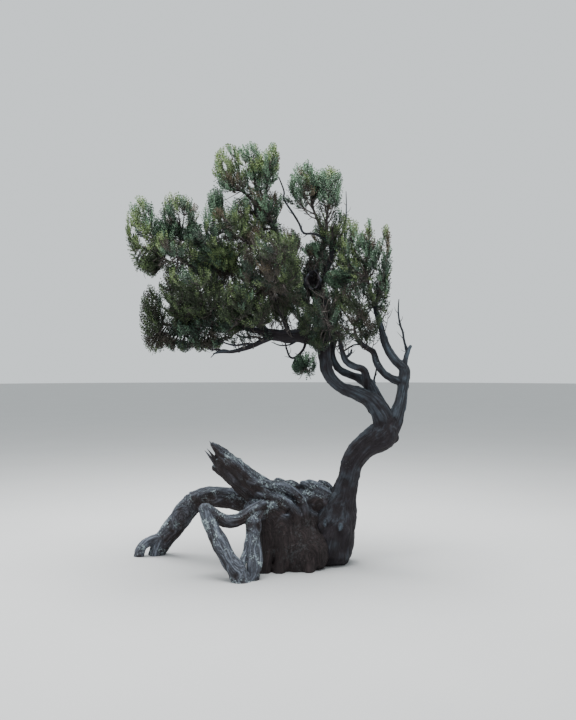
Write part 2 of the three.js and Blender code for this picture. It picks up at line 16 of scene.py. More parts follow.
import bpy
import numpy as np
from mathutils import Euler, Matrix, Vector


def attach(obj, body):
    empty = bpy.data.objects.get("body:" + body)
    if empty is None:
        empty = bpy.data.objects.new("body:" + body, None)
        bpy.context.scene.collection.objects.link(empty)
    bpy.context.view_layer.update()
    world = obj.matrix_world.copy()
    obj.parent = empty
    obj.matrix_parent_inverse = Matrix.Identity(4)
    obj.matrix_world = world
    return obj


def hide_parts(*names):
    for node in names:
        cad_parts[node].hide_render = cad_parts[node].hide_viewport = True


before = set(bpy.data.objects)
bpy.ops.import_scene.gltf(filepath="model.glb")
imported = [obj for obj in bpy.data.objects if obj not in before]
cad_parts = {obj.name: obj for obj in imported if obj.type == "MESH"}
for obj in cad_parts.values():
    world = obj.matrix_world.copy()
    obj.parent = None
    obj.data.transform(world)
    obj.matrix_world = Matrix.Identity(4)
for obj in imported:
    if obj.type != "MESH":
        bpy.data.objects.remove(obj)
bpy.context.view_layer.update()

MM = 0.001
BODY = "root"
GOLDEN_TURN = math.pi * (3 - math.sqrt(5))
UP = np.array([0.0, 0.0, 1.0])
# where the photograph was taken from
EYE = (-0.361, -7.4, 1.738)

Point = tuple[float, float, float]
Array = np.ndarray
Colour = tuple[float, float, float, float]
Piece = bpy.types.Object
Material = bpy.types.Material
Socket = bpy.types.NodeSocket
Draws = np.random.Generator

log = logging.getLogger("heath")


class Noise(IntEnum):
    """Which smooth noise each effect takes, so that no two run alike."""

    FLUTE_DRIFT = 3
    FOLDS = 5
    FINER_FOLDS = 6
    BURRS = 9
    LIGHTER_PATCHES = 11
    COOL_PATCHES = 12
    DYING_PATCHES = 13
    CRAGS = 14
    FINER_CRAGS = 15
    RIDGE_WANDER = 21
    LOBES = 31
    FINER_LOBES = 32
    SWIRL = 41


# Numbers and curves.


class Dice:
    """Numbers that look random and are the same every time, as in the part's source."""

    def __init__(self, seed: int) -> None:
        """Starts the row of numbers that has this seed."""
        self.state = (seed * 7919 + 17) % 4294967296
        self.roll()

    def roll(self) -> float:
        """Returns the next number, from 0 to 1."""
        self.state = (self.state * 1664525 + 1013904223) % 4294967296
        return self.state / 4294967296

    def between(self, low: float, high: float) -> float:
        """Returns the next number, from low to high."""
        return low + (high - low) * self.roll()


def unit(vectors: Array) -> Array:
    """Returns vectors at length 1, along their last axis."""
    return vectors / np.maximum(np.linalg.norm(vectors, axis=-1, keepdims=True), 1e-12)


def noise3(points: Array, seed: int = 0) -> Array:
    """Smooth noise with one swell per unit of length.

    Args:
        points: N by 3 places.
        seed: which noise.

    Returns:
        N values from -1 to 1.
    """
    cell = np.floor(points).astype(np.int64)
    part = points - cell
    fade = part * part * (3 - 2 * part)
    total = np.zeros(len(points))
    for corner in range(8):
        step = np.array([corner & 1, corner >> 1 & 1, corner >> 2 & 1])
        x, y, z = (cell + step).T
        mixed = (x * 73856093) ^ (y * 19349663) ^ (z * 83492791) ^ (seed * 2654435761)
        mixed = (mixed ^ (mixed >> 13)) & 0x7FFFFFFF
        mixed = (mixed * 1274126177) & 0x7FFFFFFF
        mixed = (mixed ^ (mixed >> 16)) & 0xFFFF
        total += np.where(step, fade, 1 - fade).prod(axis=1) * (mixed / 32767.5 - 1)
    return total


def smooth_points(route: Array, shares: Array) -> Array:
    """Returns places on a smooth curve through a route, at shares of the way from 0 to 1."""
    spans = len(route) - 1
    padded = np.vstack([2 * route[0] - route[1], route, 2 * route[-1] - route[-2]])
    place = np.clip(shares, 0, 1) * spans
    first = np.minimum(place.astype(int), spans - 1)
    t = (place - first)[:, None]
    a, b, c, d = (padded[first + k] for k in range(4))
    return 0.5 * (2 * b + (c - a) * t + (2 * a - 5 * b + 4 * c - d) * t**2 + (3 * b - a - 3 * c + d) * t**3)


def quadratic(points: Array, shares: Array) -> Array:
    """Returns places on many curves, each from the first of its three points to the third."""
    t = shares[None, :, None]
    a, b, c = (points[:, k, None, :] for k in range(3))
    return (1 - t) ** 2 * a + 2 * t * (1 - t) * b + t**2 * c


def turned(vectors: Array, axes: Array, angles: Array) -> Array:
    """Returns vectors turned about unit axes by angles in radians."""
    cos, sin = np.cos(angles)[..., None], np.sin(angles)[..., None]
    along = (vectors * axes).sum(-1, keepdims=True)
    return vectors * cos + np.cross(axes, vectors) * sin + axes * along * (1 - cos)


def square_to(aims: Array) -> tuple[Array, Array]:
    """Returns two unit directions at right angles to each of many and to each other."""
    helper = np.where(np.abs(aims[:, 2:]) < 0.8, [[0, 0, 1.0]], [[1.0, 0, 0]])
    across = unit(np.cross(aims, helper))
    return across, np.cross(aims, across)


def on_ball(turns: Array, heights: Array) -> Array:
    """Returns unit directions by their turns about the upright and their heights, from -1 to 1."""
    level = np.sqrt(1 - heights**2)
    return np.stack([level * np.cos(turns), level * np.sin(turns), heights], axis=1)


# The tree's sizes.


@dataclass(frozen=True)
class Limb:
    """A limb: a route through a few points, with a radius at each, in millimetres.

    wear is how grey and weathered its wood is, from 0 to 1, spread evenly along the route.
    """

    route: tuple[Point, ...]
    girth: tuple[float, ...]
    wear: tuple[float, ...] = (0.5,)
    sides: int = 12

    def points(self, shares: Array) -> Array:
        """Returns places along the limb's middle line, in metres."""
        return smooth_points(np.array(self.route) * MM, shares)

    def tangents(self, shares: Array) -> Array:
        """Returns the direction of growth at shares of the way along."""
        return unit(self.points(shares + 1e-4) - self.points(shares - 1e-4))

    def radii(self, shares: Array) -> Array:
        """Returns the radius at shares of the way along, in metres."""
        return np.interp(shares, np.linspace(0, 1, len(self.girth)), self.girth) * MM

    def wears(self, shares: Array) -> Array:
        """Returns how weathered the limb is at shares of the way along."""
        return np.interp(shares, np.linspace(0, 1, len(self.wear)), self.wear)

    @property
    def spans(self) -> int:
        """The number of spans between the route's points."""
        return len(self.route) - 1

    def onward(self, *others: "Limb") -> "Limb":
        """Returns one limb that runs on through others, each starting where the last ends."""
        route, girth = list(self.route), list(self.girth)
        wear = list(self.wears(np.linspace(0, 1, len(route))))
        for other in others:
            route += other.route[1:]
            girth += other.girth[1:]
            wear += list(other.wears(np.linspace(0, 1, len(other.route))))[1:]
        return Limb(tuple(route), tuple(girth), tuple(wear), self.sides)


LIMBS = {
    "trunk": Limb(
        ((-50, 0, -60), (-25, 0, 95), (10, 0, 265), (70, 0, 445), (120, 0, 585), (155, 0, 725),
         (208, 0, 880), (310, 5, 992), (448, 10, 1084), (500, 15, 1180)),
        (130, 226, 222, 160, 106, 92, 95, 108, 130, 108), (0.1, 0.1, 0.2, 0.3, 0.2, 0.15), 18),
    "left_fork": Limb(
        ((475, 12, 1100), (470, 10, 1180), (443, 6, 1270)), (96, 102, 88), (0.2, 0.35), 16),
    "right_fork": Limb(
        ((465, 12, 1095), (525, 15, 1150), (570, 20, 1250)), (88, 84, 68), (0.2, 0.6), 16),
    "left_limb": Limb(
        ((443, 6, 1270), (355, 0, 1385), (240, -20, 1450), (100, -45, 1503), (-15, -65, 1615),
         (-45, -75, 1755)),
        (88, 76, 60, 47, 50, 52), (0.35, 0.7, 0.8, 0.6, 0.4), 14),
    "level_bough": Limb(
        ((-45, -75, 1755), (-55, -80, 1850), (-115, -80, 1915), (-225, -85, 1940), (-385, -95, 1940),
         (-535, -105, 1960)),
        (52, 56, 60, 60, 54, 42), (0.4, 0.15, 0.1)),
    "right_limb": Limb(
        ((570, 20, 1250), (605, 20, 1365), (628, 30, 1470), (641, 32, 1565), (643, 35, 1665)),
        (68, 53, 46, 47, 44), (0.6, 0.9, 0.9)),
    "right_upper_limb": Limb(
        ((643, 35, 1665), (570, 30, 1730), (508, 20, 1815), (470, 10, 1910), (440, 0, 2015),
         (395, -15, 2165), (350, -25, 2315)),
        (44, 38, 34, 30, 28, 23, 16), (0.9, 1.0, 0.8, 0.5)),
    "second_limb": Limb(
        ((428, 30, 1390), (355, 70, 1510), (275, 90, 1570), (180, 100, 1610), (85, 105, 1660),
         (30, 115, 1760), (35, 160, 1930), (65, 230, 2085), (80, 310, 2205)),
        (66, 52, 41, 35, 32, 29, 26, 21, 16), (0.7, 0.7, 0.5, 0.2)),
    "third_limb": Limb(
        ((330, 60, 1510), (295, 5, 1645), (215, -10, 1680), (135, -25, 1730), (100, -35, 1825),
         (80, -80, 1935)),
        (40, 34, 28, 25, 22, 18), (0.6, 0.7, 0.3)),
    "fourth_limb": Limb(
        ((625, 32, 1545), (550, 55, 1575), (475, 75, 1620), (415, 90, 1705), (380, 80, 1805),
         (305, 20, 1850), (225, -50, 1920)),
        (39, 36, 33, 30, 28, 24, 18), (0.9, 0.8, 0.6, 0.2)),
    "right_stub": Limb(
        ((640, 35, 1640), (655, 25, 1755), (680, 15, 1825), (700, 10, 1865)), (30, 22, 18, 12),
        (1.0,), 10),
    "crown_stem": Limb(
        ((-70, -80, 1880), (-45, -50, 2035), (-55, -20, 2200), (-110, 0, 2360), (-140, 10, 2515)),
        (60, 60, 54, 44, 34), (0.15,)),
    "top_bough": Limb(
        ((-85, -15, 2225), (-225, 10, 2420), (-345, 40, 2620), (-450, 60, 2815), (-545, 60, 3005),
         (-600, 50, 3110)),
        (34, 30, 26, 23, 19, 14), (0.2,), 10),
    "upper_right_bough": Limb(
        ((-105, 0, 2330), (-50, 30, 2470), (10, 50, 2620), (5, 60, 2755), (-65, 65, 2870)),
        (31, 27, 23, 20, 14), (0.2,), 10),
    "back_bough": Limb(
        ((-75, -25, 2140), (-195, 80, 2215), (-325, 190, 2270), (-470, 300, 2345)),
        (29, 26, 22, 15), (0.2,), 10),
    "back_left_bough": Limb(
        ((-315, 185, 2265), (-565, 280, 2220), (-830, 370, 2225), (-950, 410, 2260)),
        (21, 19, 15, 12), (0.2,), 10),
    "left_upper_bough": Limb(
        ((-515, -103, 1957), (-685, -60, 2105), (-860, -10, 2255), (-1035, 30, 2405),
         (-1210, 50, 2560), (-1350, 40, 2680)),
        (30, 27, 24, 21, 17, 12), (0.2,), 10),
    "left_lower_bough": Limb(
        ((-500, -105, 1950), (-715, -115, 2010), (-895, -115, 2030), (-1065, -95, 2035),
         (-1275, -60, 2025)),
        (27, 24, 22, 18, 12), (0.2,), 10),
    "front_bough": Limb(
        ((-345, -95, 1935), (-380, -165, 2035), (-430, -240, 2165), (-465, -300, 2260)),
        (25, 22, 18, 13), (0.2,), 10),
    "sweeping_bough": Limb(
        ((-480, -105, 1945), (-580, -130, 1898), (-655, -155, 1858), (-740, -175, 1830),
         (-830, -190, 1808), (-915, -200, 1805), (-990, -205, 1790)),
        (30, 25, 21, 18, 15, 12, 6), (0.2, 0.5), 10),
    "right_whip": Limb(
        ((675, 15, 1800), (640, 0, 1895), (625, -10, 1980), (600, -20, 2045), (585, -25, 2150),
         (590, -25, 2260)),
        (11, 10, 9, 9, 7, 4), (0.5,), 8),
    "hanging_twig": Limb(
        ((-205, -90, 1925), (-230, -130, 1830), (-300, -140, 1760), (-345, -142, 1765),
         (-372, -135, 1830), (-385, -125, 1885)),
        (14, 12, 10, 9, 8, 5), (0.2,), 8),
    "bare_spire": Limb(
        ((20, 60, 2660), (95, 100, 2800), (140, 105, 2950), (148, 102, 3080), (145, 100, 3210)),
        (12, 10, 7, 5, 3), (0.4,), 8),
    "bare_whip": Limb(
        ((0, 60, 2760), (-125, 20, 2825), (-225, 0, 2830), (-265, -10, 2910), (-320, -15, 3000),
         (-395, -20, 3115), (-395, -25, 3185), (-440, -60, 3300)),
        (13, 11, 10, 9, 9, 8, 7, 5), (0.4,), 8),
}
CROWN_BOUGHS = (
    "top_bough", "upper_right_bough", "back_bough", "back_left_bough", "left_upper_bough",
    "left_lower_bough", "front_bough", "sweeping_bough",
)
WHIPS = ("right_whip", "hanging_twig", "bare_spire", "bare_whip")

# Small bare twigs that the larger limbs carry, each starting inside its limb.
SPURS = tuple(Limb(*row, 8) for row in (
    (((118, -28, 1750), (160, -22, 1778), (178, -20, 1800), (184, -20, 1828)),
     (15, 12, 10, 8), (0.5,)),
    (((392, 55, 1535), (386, 62, 1565), (398, 78, 1610), (412, 90, 1670)), (11, 9, 8, 7), (0.6,)),
    (((92, -35, 1800), (145, -32, 1832), (205, -20, 1868), (262, 10, 1868)), (9, 7, 6, 5), (0.3,)),
    (((-840, -190, 1808), (-905, -196, 1822), (-965, -200, 1800), (-1008, -200, 1757)),
     (9, 8, 6, 3), (0.3,)),
    (((-880, -196, 1808), (-950, -196, 1826), (-1000, -190, 1820), (-1036, -188, 1846)),
     (8, 7, 5, 3), (0.3,)),
    (((-640, -150, 1866), (-712, -168, 1874), (-800, -176, 1860), (-880, -180, 1878), (-950, -176, 1905)),
     (13, 11, 9, 7, 4), (0.3,)),
    (((-560, -125, 1905), (-640, -120, 1935), (-735, -130, 1930), (-820, -140, 1962)),
     (12, 10, 8, 4), (0.3,)),
    (((-280, -86, 1905), (-345, -120, 1868), (-430, -140, 1862), (-500, -150, 1890)),
     (9, 7, 6, 3), (0.2,)),
    (((672, 18, 1800), (652, 0, 1822), (640, -12, 1862)), (9, 7, 4), (0.6,)),
))

DEAD_LIMBS = {
    "arched_span": Limb(
        ((-550, 0, 465), (-715, 30, 510), (-900, 80, 540), (-1080, 140, 538), (-1190, 180, 490)),
        (104, 96, 90, 86, 90), (0.1, 0.25, 0.4), 16),
    "arched_leg": Limb(
        ((-1190, 180, 490), (-1280, 215, 385), (-1375, 250, 250), (-1470, 280, 130), (-1560, 300, -30)),
        (90, 92, 92, 82, 62), (0.4, 0.55, 0.65), 16),
    "arched_toe": Limb(
        ((-1430, 265, 180), (-1580, 240, 130), (-1655, 225, 80), (-1700, 215, -50)), (48, 42, 42, 46),
        (0.6, 0.9)),
    "loop_arm": Limb(
        ((-560, -280, 545), (-670, -390, 500), (-760, -440, 447), (-865, -490, 445), (-960, -530, 510),
         (-1020, -550, 560)),
        (46, 46, 52, 52, 46, 48), (0.15, 0.3, 0.7)),
    "loop_leg": Limb(
        ((-1032, -553, 572), (-990, -565, 450), (-925, -590, 315), (-850, -615, 190), (-770, -640, 85),
         (-720, -655, -40)),
        (46, 50, 54, 60, 69, 76), (0.9, 0.85, 0.8), 14),
    "prop_limb": Limb(
        ((-600, -280, 520), (-645, -420, 425), (-635, -480, 320), (-655, -530, 220), (-640, -575, 120),
         (-640, -600, -30)),
        (56, 56, 48, 41, 44, 56), (0.3, 0.85, 0.75)),
}
DEAD_LOG = Limb(
    ((-400, -75, 460), (-530, -110, 565), (-665, -150, 680), (-780, -180, 780), (-885, -203, 872),
     (-925, -212, 908)),
    (150, 134, 116, 106, 96, 88), (0.2, 0.35), 18)

# The log's splintered end: broad splinters that grow out of its skin, and sharp ones beside them.
BROAD_SPLINTERS = tuple(Limb(*row) for row in (
    (((-840, -222, 800), (-905, -236, 905), (-965, -242, 1000), (-1000, -243, 1046)),
     (40, 33, 25, 14), (0.15,)),
    (((-800, -208, 850), (-870, -218, 925), (-935, -224, 1000), (-972, -227, 1038)),
     (38, 29, 20, 10), (0.2,)),
    (((-780, -190, 860), (-840, -196, 925), (-895, -200, 985), (-925, -202, 1012)),
     (34, 26, 17, 9), (0.3,)),
    (((-880, -222, 790), (-945, -234, 875), (-988, -240, 940)), (36, 29, 15), (0.15,)),
    (((-700, -225, 650), (-790, -252, 735), (-880, -262, 835), (-945, -262, 915)),
     (16, 26, 26, 16), (0.3,)),
    (((-650, -215, 690), (-740, -235, 770), (-830, -248, 865), (-900, -250, 950)),
     (14, 24, 24, 14), (0.35,)),
))
SHARP_SPLINTERS = tuple(Limb(*row, 6) for row in (
    (((-955, -238, 855), (-1003, -243, 925), (-1054, -246, 986)), (17, 13, 1.5), (0.3,)),
    (((-945, -245, 885), (-985, -249, 940), (-1034, -252, 1003)), (16, 12, 1.5), (0.35,)),
    (((-965, -242, 995), (-996, -243, 1036), (-1014, -244, 1063)), (15, 10, 1.5), (0.4,)),
    (((-930, -224, 985), (-966, -227, 1030), (-990, -228, 1055)), (13, 9, 1.5), (0.4,)),
    (((-890, -205, 975), (-922, -206, 1010), (-945, -207, 1036)), (12, 8, 1.5), (0.5,)),
))

# Raised folds of silvery wood that flow from the log over the stump and down to the ground.
FOLDS = tuple(Limb(*row) for row in (
    (((-776, -250, 770), (-660, -244, 725), (-545, -210, 700), (-420, -160, 676), (-319, -160, 634),
      (-252, -160, 567), (-218, -175, 478), (-210, -205, 365)),
     (20, 34, 40, 42, 42, 38, 34, 30), (0.4, 0.8, 0.8, 0.2)),
    (((-677, -235, 640), (-561, -232, 610), (-445, -200, 585), (-353, -190, 535), (-294, -205, 450),
      (-278, -245, 323), (-287, -295, 184), (-290, -330, -20)),
     (26, 34, 36, 34, 30, 30, 34, 44), (0.3, 0.6, 0.1, 0.05)),
    (((-661, -215, 553), (-586, -240, 473), (-543, -275, 347), (-534, -320, 192), (-565, -360, -20)),
     (36, 44, 42, 46, 62), (0.25, 0.1, 0.05)),
    (((-462, -175, 530), (-428, -240, 391), (-418, -330, 221), (-434, -370, -20)), (30, 32, 38, 50),
     (0.05,)),
    (((-230, -160, 420), (-237, -250, 261), (-213, -310, 127), (-189, -345, -20)), (28, 32, 38, 50),
     (0.05,)),
    (((-258, -40, 680), (-173, -60, 676), (-80, -65, 640), (15, -45, 570)), (26, 42, 44, 30),
     (0.6, 0.7, 0.3)),
    (((-100, 60, 690), (-30, 40, 650), (40, 30, 560)), (24, 38, 34), (0.6,)),
    (((-470, 60, 690), (-400, 130, 640), (-300, 190, 520), (-260, 240, 300), (-250, 280, -20)),
     (34, 44, 54, 66, 84), (0.7, 0.3, 0.2)),
    (((-180, 130, 620), (-140, 190, 440), (-130, 240, 220), (-110, 270, -20)), (34, 46, 58, 76),
     (0.4, 0.2)),
    (((-560, 40, 520), (-600, 80, 350), (-620, 90, 180), (-650, 110, -20)), (50, 58, 66, 80),
     (0.3, 0.2)),
))
EXTRA_STRANDS = tuple(Limb(*row) for row in (
    (((-1000, -545, 540), (-945, -560, 425), (-868, -580, 315), (-806, -606, 190), (-742, -640, 60),
      (-700, -650, -20)),
     (20, 28, 28, 26, 30, 34), (1.0, 0.9)),
    (((-620, -425, 380), (-612, -500, 270), (-590, -555, 170), (-604, -592, 80), (-668, -622, -20)),
     (34, 30, 28, 32, 40), (0.9,)),
    (((-670, -455, 350), (-694, -535, 230), (-722, -590, 130), (-745, -635, -20)), (30, 24, 26, 36),
     (0.9,)),
    (((-800, -30, 602), (-722, -70, 590), (-672, -140, 548), (-690, -230, 500), (-760, -300, 470)),
     (18, 20, 22, 20, 16), (1.0,)),
    (((-1130, 90, 560), (-1010, 60, 590), (-860, 20, 596), (-720, -25, 575)), (26, 34, 34, 26), (1.0,)),
    (((-1240, 150, 470), (-1330, 190, 360), (-1420, 215, 240), (-1500, 240, 110), (-1560, 250, -20)),
     (30, 38, 40, 38, 40), (0.9,)),
))


@dataclass(frozen=True)
class Lump:
    """An uneven ball of wood: its middle and its half sizes, in millimetres."""

    centre: Point
    half: Point


STUMP_LUMPS = tuple(Lump(*row) for row in (
    ((-320, 10, 270), (285, 270, 315)), ((-150, 20, 540), (165, 165, 125)),
    ((-560, -130, 440), (185, 195, 175)), ((-280, -180, 130), (260, 205, 230)),
    ((-350, -10, 640), (80, 85, 66)), ((-640, -440, 385), (66, 62, 96)),
    ((-1020, -548, 545), (56, 52, 52)), ((-450, -200, 220), (170, 150, 250)),
    ((-850, -195, 935), (36, 46, 28)), ((-780, -185, 892), (36, 46, 26)),
    ((-972, -212, 842), (28, 50, 32)),
))
TRUNK_BURLS = (
    Lump((556, 15, 1068), (44, 62, 50)),
    Lump((-60, -150, 330), (60, 70, 75)),
    Lump((70, -150, 300), (75, 60, 105)),
)


@dataclass(frozen=True)
class Mass:
    """A foliage mass: where its stem leaves, its leaning oval space in millimetres, and its twigs.

    bare is how high the leafy twigs start, from -1, its bottom, to 1, its top. warm is the share of
    its needles that are yellow-olive rather than blue-green, and bronze the share that is dying.
    fringe is how many twigs trail from its underside. light is how many steps of painted light its
    needles take, and below 0 how many steps of painted shade.
    """

    bough: str
    at: float
    centre: Point
    half: Point
    lean: float
    seed: int
    twigs: int
    warm: float = 0.5
    bronze: float = 0.04
    bare: float = -0.8
    fringe: int = 0
    light: float = 0.0

    @property
    def axes(self) -> Array:
        """The leaning axes of the space, one in each row."""
        cos, sin = math.cos(math.radians(self.lean)), math.sin(math.radians(self.lean))
        return np.array([[cos, 0, sin], [0, 1, 0], [-sin, 0, cos]])

    def away(self, points: Array) -> Array:
        """Returns how far points lie from the middle, 1 being the edge of the space."""
        offset = (points - np.array(self.centre) * MM) @ self.axes.T
        return np.linalg.norm(offset / (np.array(self.half) * MM), axis=-1)

    def place(self, directions: Array) -> Array:
        """Returns places in the space from directions in it, where length 1 is its edge."""
        return np.array(self.centre) * MM + (directions * np.array(self.half) * MM) @ self.axes


# each mass's light is its steps of painted light, and below 0 its steps of painted shade
MASSES = {
    "far_left_crest": Mass(
        "left_upper_bough", 1.0, (-1585, -60, 2790), (152, 265, 362), 6, 1, 6, 0.62, fringe=14, light=0.1),
    "left_crest": Mass(
        "left_upper_bough", 0.9, (-1300, 130, 2920), (185, 285, 320), 4, 2, 7, 0.6, light=-0.35),
    "left_under": Mass(
        "left_upper_bough", 0.78, (-1305, -170, 2610), (285, 255, 180), -28, 3, 5, 0.45, 0.03, -0.5, 20,
        light=-0.25),
    "left_shelf": Mass(
        "left_lower_bough", 0.62, (-1140, -260, 2305), (295, 295, 225), -14, 4, 6, 0.9, fringe=16,
        light=-0.3),
    "far_left_skirt": Mass(
        "left_lower_bough", 1.0, (-1515, -40, 2065), (110, 245, 310), 4, 5, 8, 0.75, fringe=22, light=-0.2),
    "left_skirt": Mass(
        "left_lower_bough", 0.8, (-1170, -40, 1965), (330, 285, 185), 0, 6, 7, 0.55, 0.06, -0.7, 60,
        light=-0.3),
    "left_back": Mass("back_left_bough", 1.0, (-1165, 470, 2445), (360, 340, 385), 0, 7, 6, 0.5),
    "centre_low": Mass(
        "left_lower_bough", 0.25, (-705, -380, 2195), (235, 295, 205), 0, 8, 6, 0.8, 0.08, -0.7, 24,
        light=-0.3),
    "centre_front": Mass(
        "front_bough", 1.0, (-490, -420, 2470), (290, 325, 345), 0, 9, 7, 0.6, 0.15, light=-0.45),
    "centre_upper": Mass(
        "top_bough", 0.4, (-865, -150, 2800), (285, 275, 300), 0, 10, 6, 0.55, 0.12, light=0.05),
    "upper_back": Mass("top_bough", 0.5, (-780, 390, 2915), (305, 265, 330), 0, 11, 5, 0.4),
    "centre_back": Mass("back_bough", 1.0, (-580, 520, 2510), (390, 340, 410), 0, 12, 5, 0.4),
    "top_left": Mass(
        "top_bough", 0.76, (-860, -40, 3300), (152, 255, 285), 5, 13, 7, 0.28, 0.03, light=0.4),
    "top_middle": Mass("top_bough", 1.0, (-680, 90, 3365), (140, 245, 275), 2, 14, 6, 0.28, light=0.3),
    "top_right": Mass("top_bough", 0.87, (-512, -20, 3370), (78, 210, 235), -6, 15, 5, 0.3, light=0.4),
    "middle_top": Mass(
        "top_bough", 0.6, (-585, 40, 3000), (240, 255, 240), 0, 16, 5, 0.75, 0.15, light=0.1),
    "upper_right": Mass(
        "upper_right_bough", 1.0, (-205, 60, 3195), (165, 280, 292), 3, 17, 7, 0.3, 0.06, -0.4, light=0.1),
    "upper_right_edge": Mass(
        "upper_right_bough", 0.86, (-15, 40, 3145), (132, 255, 300), -6, 25, 6, 0.2, 0.04, -0.3,
        light=0.15),
    "right_shoulder": Mass(
        "upper_right_bough", 0.7, (60, 170, 2795), (205, 265, 255), 10, 18, 7, 0.3, light=0.4),
    "right_crown": Mass(
        "right_upper_limb", 1.0, (265, -40, 2630), (210, 275, 345), 0, 19, 7, 0.6, 0.08, light=0.6),
    "right_edge": Mass(
        "right_upper_limb", 0.85, (462, 40, 2445), (74, 235, 465), -3, 20, 6, 0.4, 0.08, light=0.5),
    "right_low": Mass("fourth_limb", 1.0, (190, -150, 2110), (235, 265, 270), 0, 21, 6, 0.7, light=-1.0),
    "inner_right": Mass("third_limb", 1.0, (-110, -250, 2115), (195, 265, 255), 0, 22, 5, 0.65, light=-1.0),
    "right_back": Mass("second_limb", 1.0, (85, 470, 2490), (370, 320, 455), 0, 23, 6, 0.4),
    "hanging_tuft": Mass(
        "hanging_twig", 0.3, (-215, -145, 1685), (105, 105, 115), 0, 24, 3, 0.75, 0.0, light=1.5),
}


@dataclass(frozen=True)
class Fill:
    """A crevice between masses that one of them fills: its middle and radius in millimetres."""

    mass: str
    centre: Point
    radius: float

    def away(self, points: Array) -> Array:
        """Returns how far points lie from the middle, 1 being the edge."""
        return np.linalg.norm(points / MM - np.array(self.centre), axis=-1) / self.radius


FILLS = tuple(Fill(mass, (x, y, z), radius) for mass, x, y, z, radius in (
    ("centre_upper", -960, -80, 3080, 110), ("centre_upper", -1060, -120, 2560, 130),
    ("left_under", -1520, -150, 2500, 105), ("left_shelf", -1330, -170, 2160, 115),
    ("centre_low", -560, -230, 2090, 95), ("centre_low", -860, -200, 2000, 105),
    ("centre_front", -330, -60, 2770, 120), ("centre_front", -400, -190, 2130, 95),
    ("right_shoulder", -150, -40, 2650, 95), ("inner_right", -300, -140, 2215, 85),
    ("inner_right", -105, -225, 1835, 85), ("left_skirt", -1210, 20, 2040, 160),
    ("left_shelf", -1100, -110, 2110, 150), ("centre_low", -800, -130, 2100, 150),
    ("centre_upper", -900, -80, 2490, 130), ("centre_upper", -1130, -60, 2740, 105),
    ("left_crest", -1420, 20, 2830, 110), ("left_crest", -1190, 0, 2800, 105),
    ("left_under", -1430, -60, 2660, 110), ("upper_right", -95, 50, 3220, 115),
    ("top_right", -575, 10, 3390, 85), ("left_crest", -1300, -60, 2905, 105),
    ("centre_front", -763, -200, 2475, 90), ("centre_low", -590, -220, 2350, 90),
    ("inner_right", -225, -180, 2270, 75), ("centre_upper", -900, -250, 2560, 140),
    ("centre_front", -270, -200, 2380, 70), ("right_crown", 45, -60, 2400, 105),
    ("right_low", 20, -130, 2230, 90), ("left_shelf", -1246, -190, 2110, 110),
    ("left_shelf", -1190, -160, 2240, 90), ("inner_right", -150, 110, 2540, 90),
    ("hanging_tuft", -258, -150, 1650, 66),
))

# The sky that the photograph shows between the masses: middle and radius of each gap in its pixels.
SKY_GAPS = (
    (283, 217, 5), (291, 219, 8), (299, 226, 6), (293, 319, 5), (277, 327, 4), (269, 328, 3),
    (265, 320, 3), (309, 300, 4), (228, 200, 5), (180, 219, 5), (185, 223, 3), (168, 258, 3),
    (177, 262, 4), (186, 265, 3), (166, 305, 4), (179, 304, 3), (363, 301, 3), (373, 313, 4),
    (330, 289, 3), (240, 194, 4), (274, 188, 3), (200, 221, 3), (345, 318, 2.5), (352, 329, 3),
    (252, 184, 3), (349, 235, 2.5), (362, 222, 3), (378, 224, 6), (377, 235, 4),
)

# Where the photograph shows wood between the leaves: the broken stub and the stem under it. No leaf
# stands there nearer than this Y, in millimetres.
BARE_VIEWS = (
    (312, 272, 10), (313, 283, 10), (326, 299, 8), (328, 311, 7), (328, 323, 7), (326, 335, 7),
)
BARE_VIEW_DEPTH = 40


# Modelling helpers.


def select_only(piece: Piece) -> None:
    """Selects one object and makes it active."""
    bpy.ops.object.select_all(action="DESELECT")
    piece.select_set(True)
    bpy.context.view_layer.objects.active = piece


def edit_all() -> None:
    """Starts to edit the active piece, with all of it selected."""
    bpy.ops.object.mode_set(mode="EDIT")
    bpy.ops.mesh.select_all(action="SELECT")


def apply_place() -> None:
    """Puts the active piece's place, turn and size into its points."""
    bpy.ops.object.transform_apply(location=True, rotation=True, scale=True)


def extrude_limb(limb: Limb, rings: int = 4, grow: float = 1.0) -> Piece:
    """Models a closed tapering limb by extruding a ring along its route.

    Args:
        limb: its route and radii.
        rings: rings for each span.
        grow: the radii are multiplied by this.

    Returns:
        The limb as an object at the origin.
    """
    shares = np.linspace(0, 1, limb.spans * rings + 1)
    middles = [Vector(p) for p in limb.points(shares)]
    along = [Vector(t) for t in limb.tangents(shares)]
    radii = limb.radii(shares) * grow
    start = Vector((0, 0, 1)).rotation_difference(along[0]).to_euler()
    bpy.ops.object.select_all(action="DESELECT")
    bpy.ops.mesh.primitive_circle_add(
        vertices=limb.sides, radius=radii[0], fill_type="NGON", location=middles[0], rotation=start
    )
    edit_all()
    for i in range(1, len(middles)):
        bpy.ops.mesh.extrude_region_move(TRANSFORM_OT_translate={"value": middles[i] - middles[i - 1]})
        size = radii[i] / radii[i - 1]
        bpy.ops.transform.resize(value=(size, size, size), center_override=middles[i])
        bend = along[i - 1].rotation_difference(along[i]).to_euler("XYZ")
        for axis, angle in zip("XYZ", bend):
            if abs(angle) > 1e-5:
                bpy.ops.transform.rotate(
                    value=-angle, orient_axis=axis, orient_type="GLOBAL", center_override=middles[i]
                )
    bpy.ops.mesh.select_all(action="SELECT")
    bpy.ops.mesh.normals_make_consistent(inside=False)
    bpy.ops.object.mode_set(mode="OBJECT")
    apply_place()
    return bpy.context.object


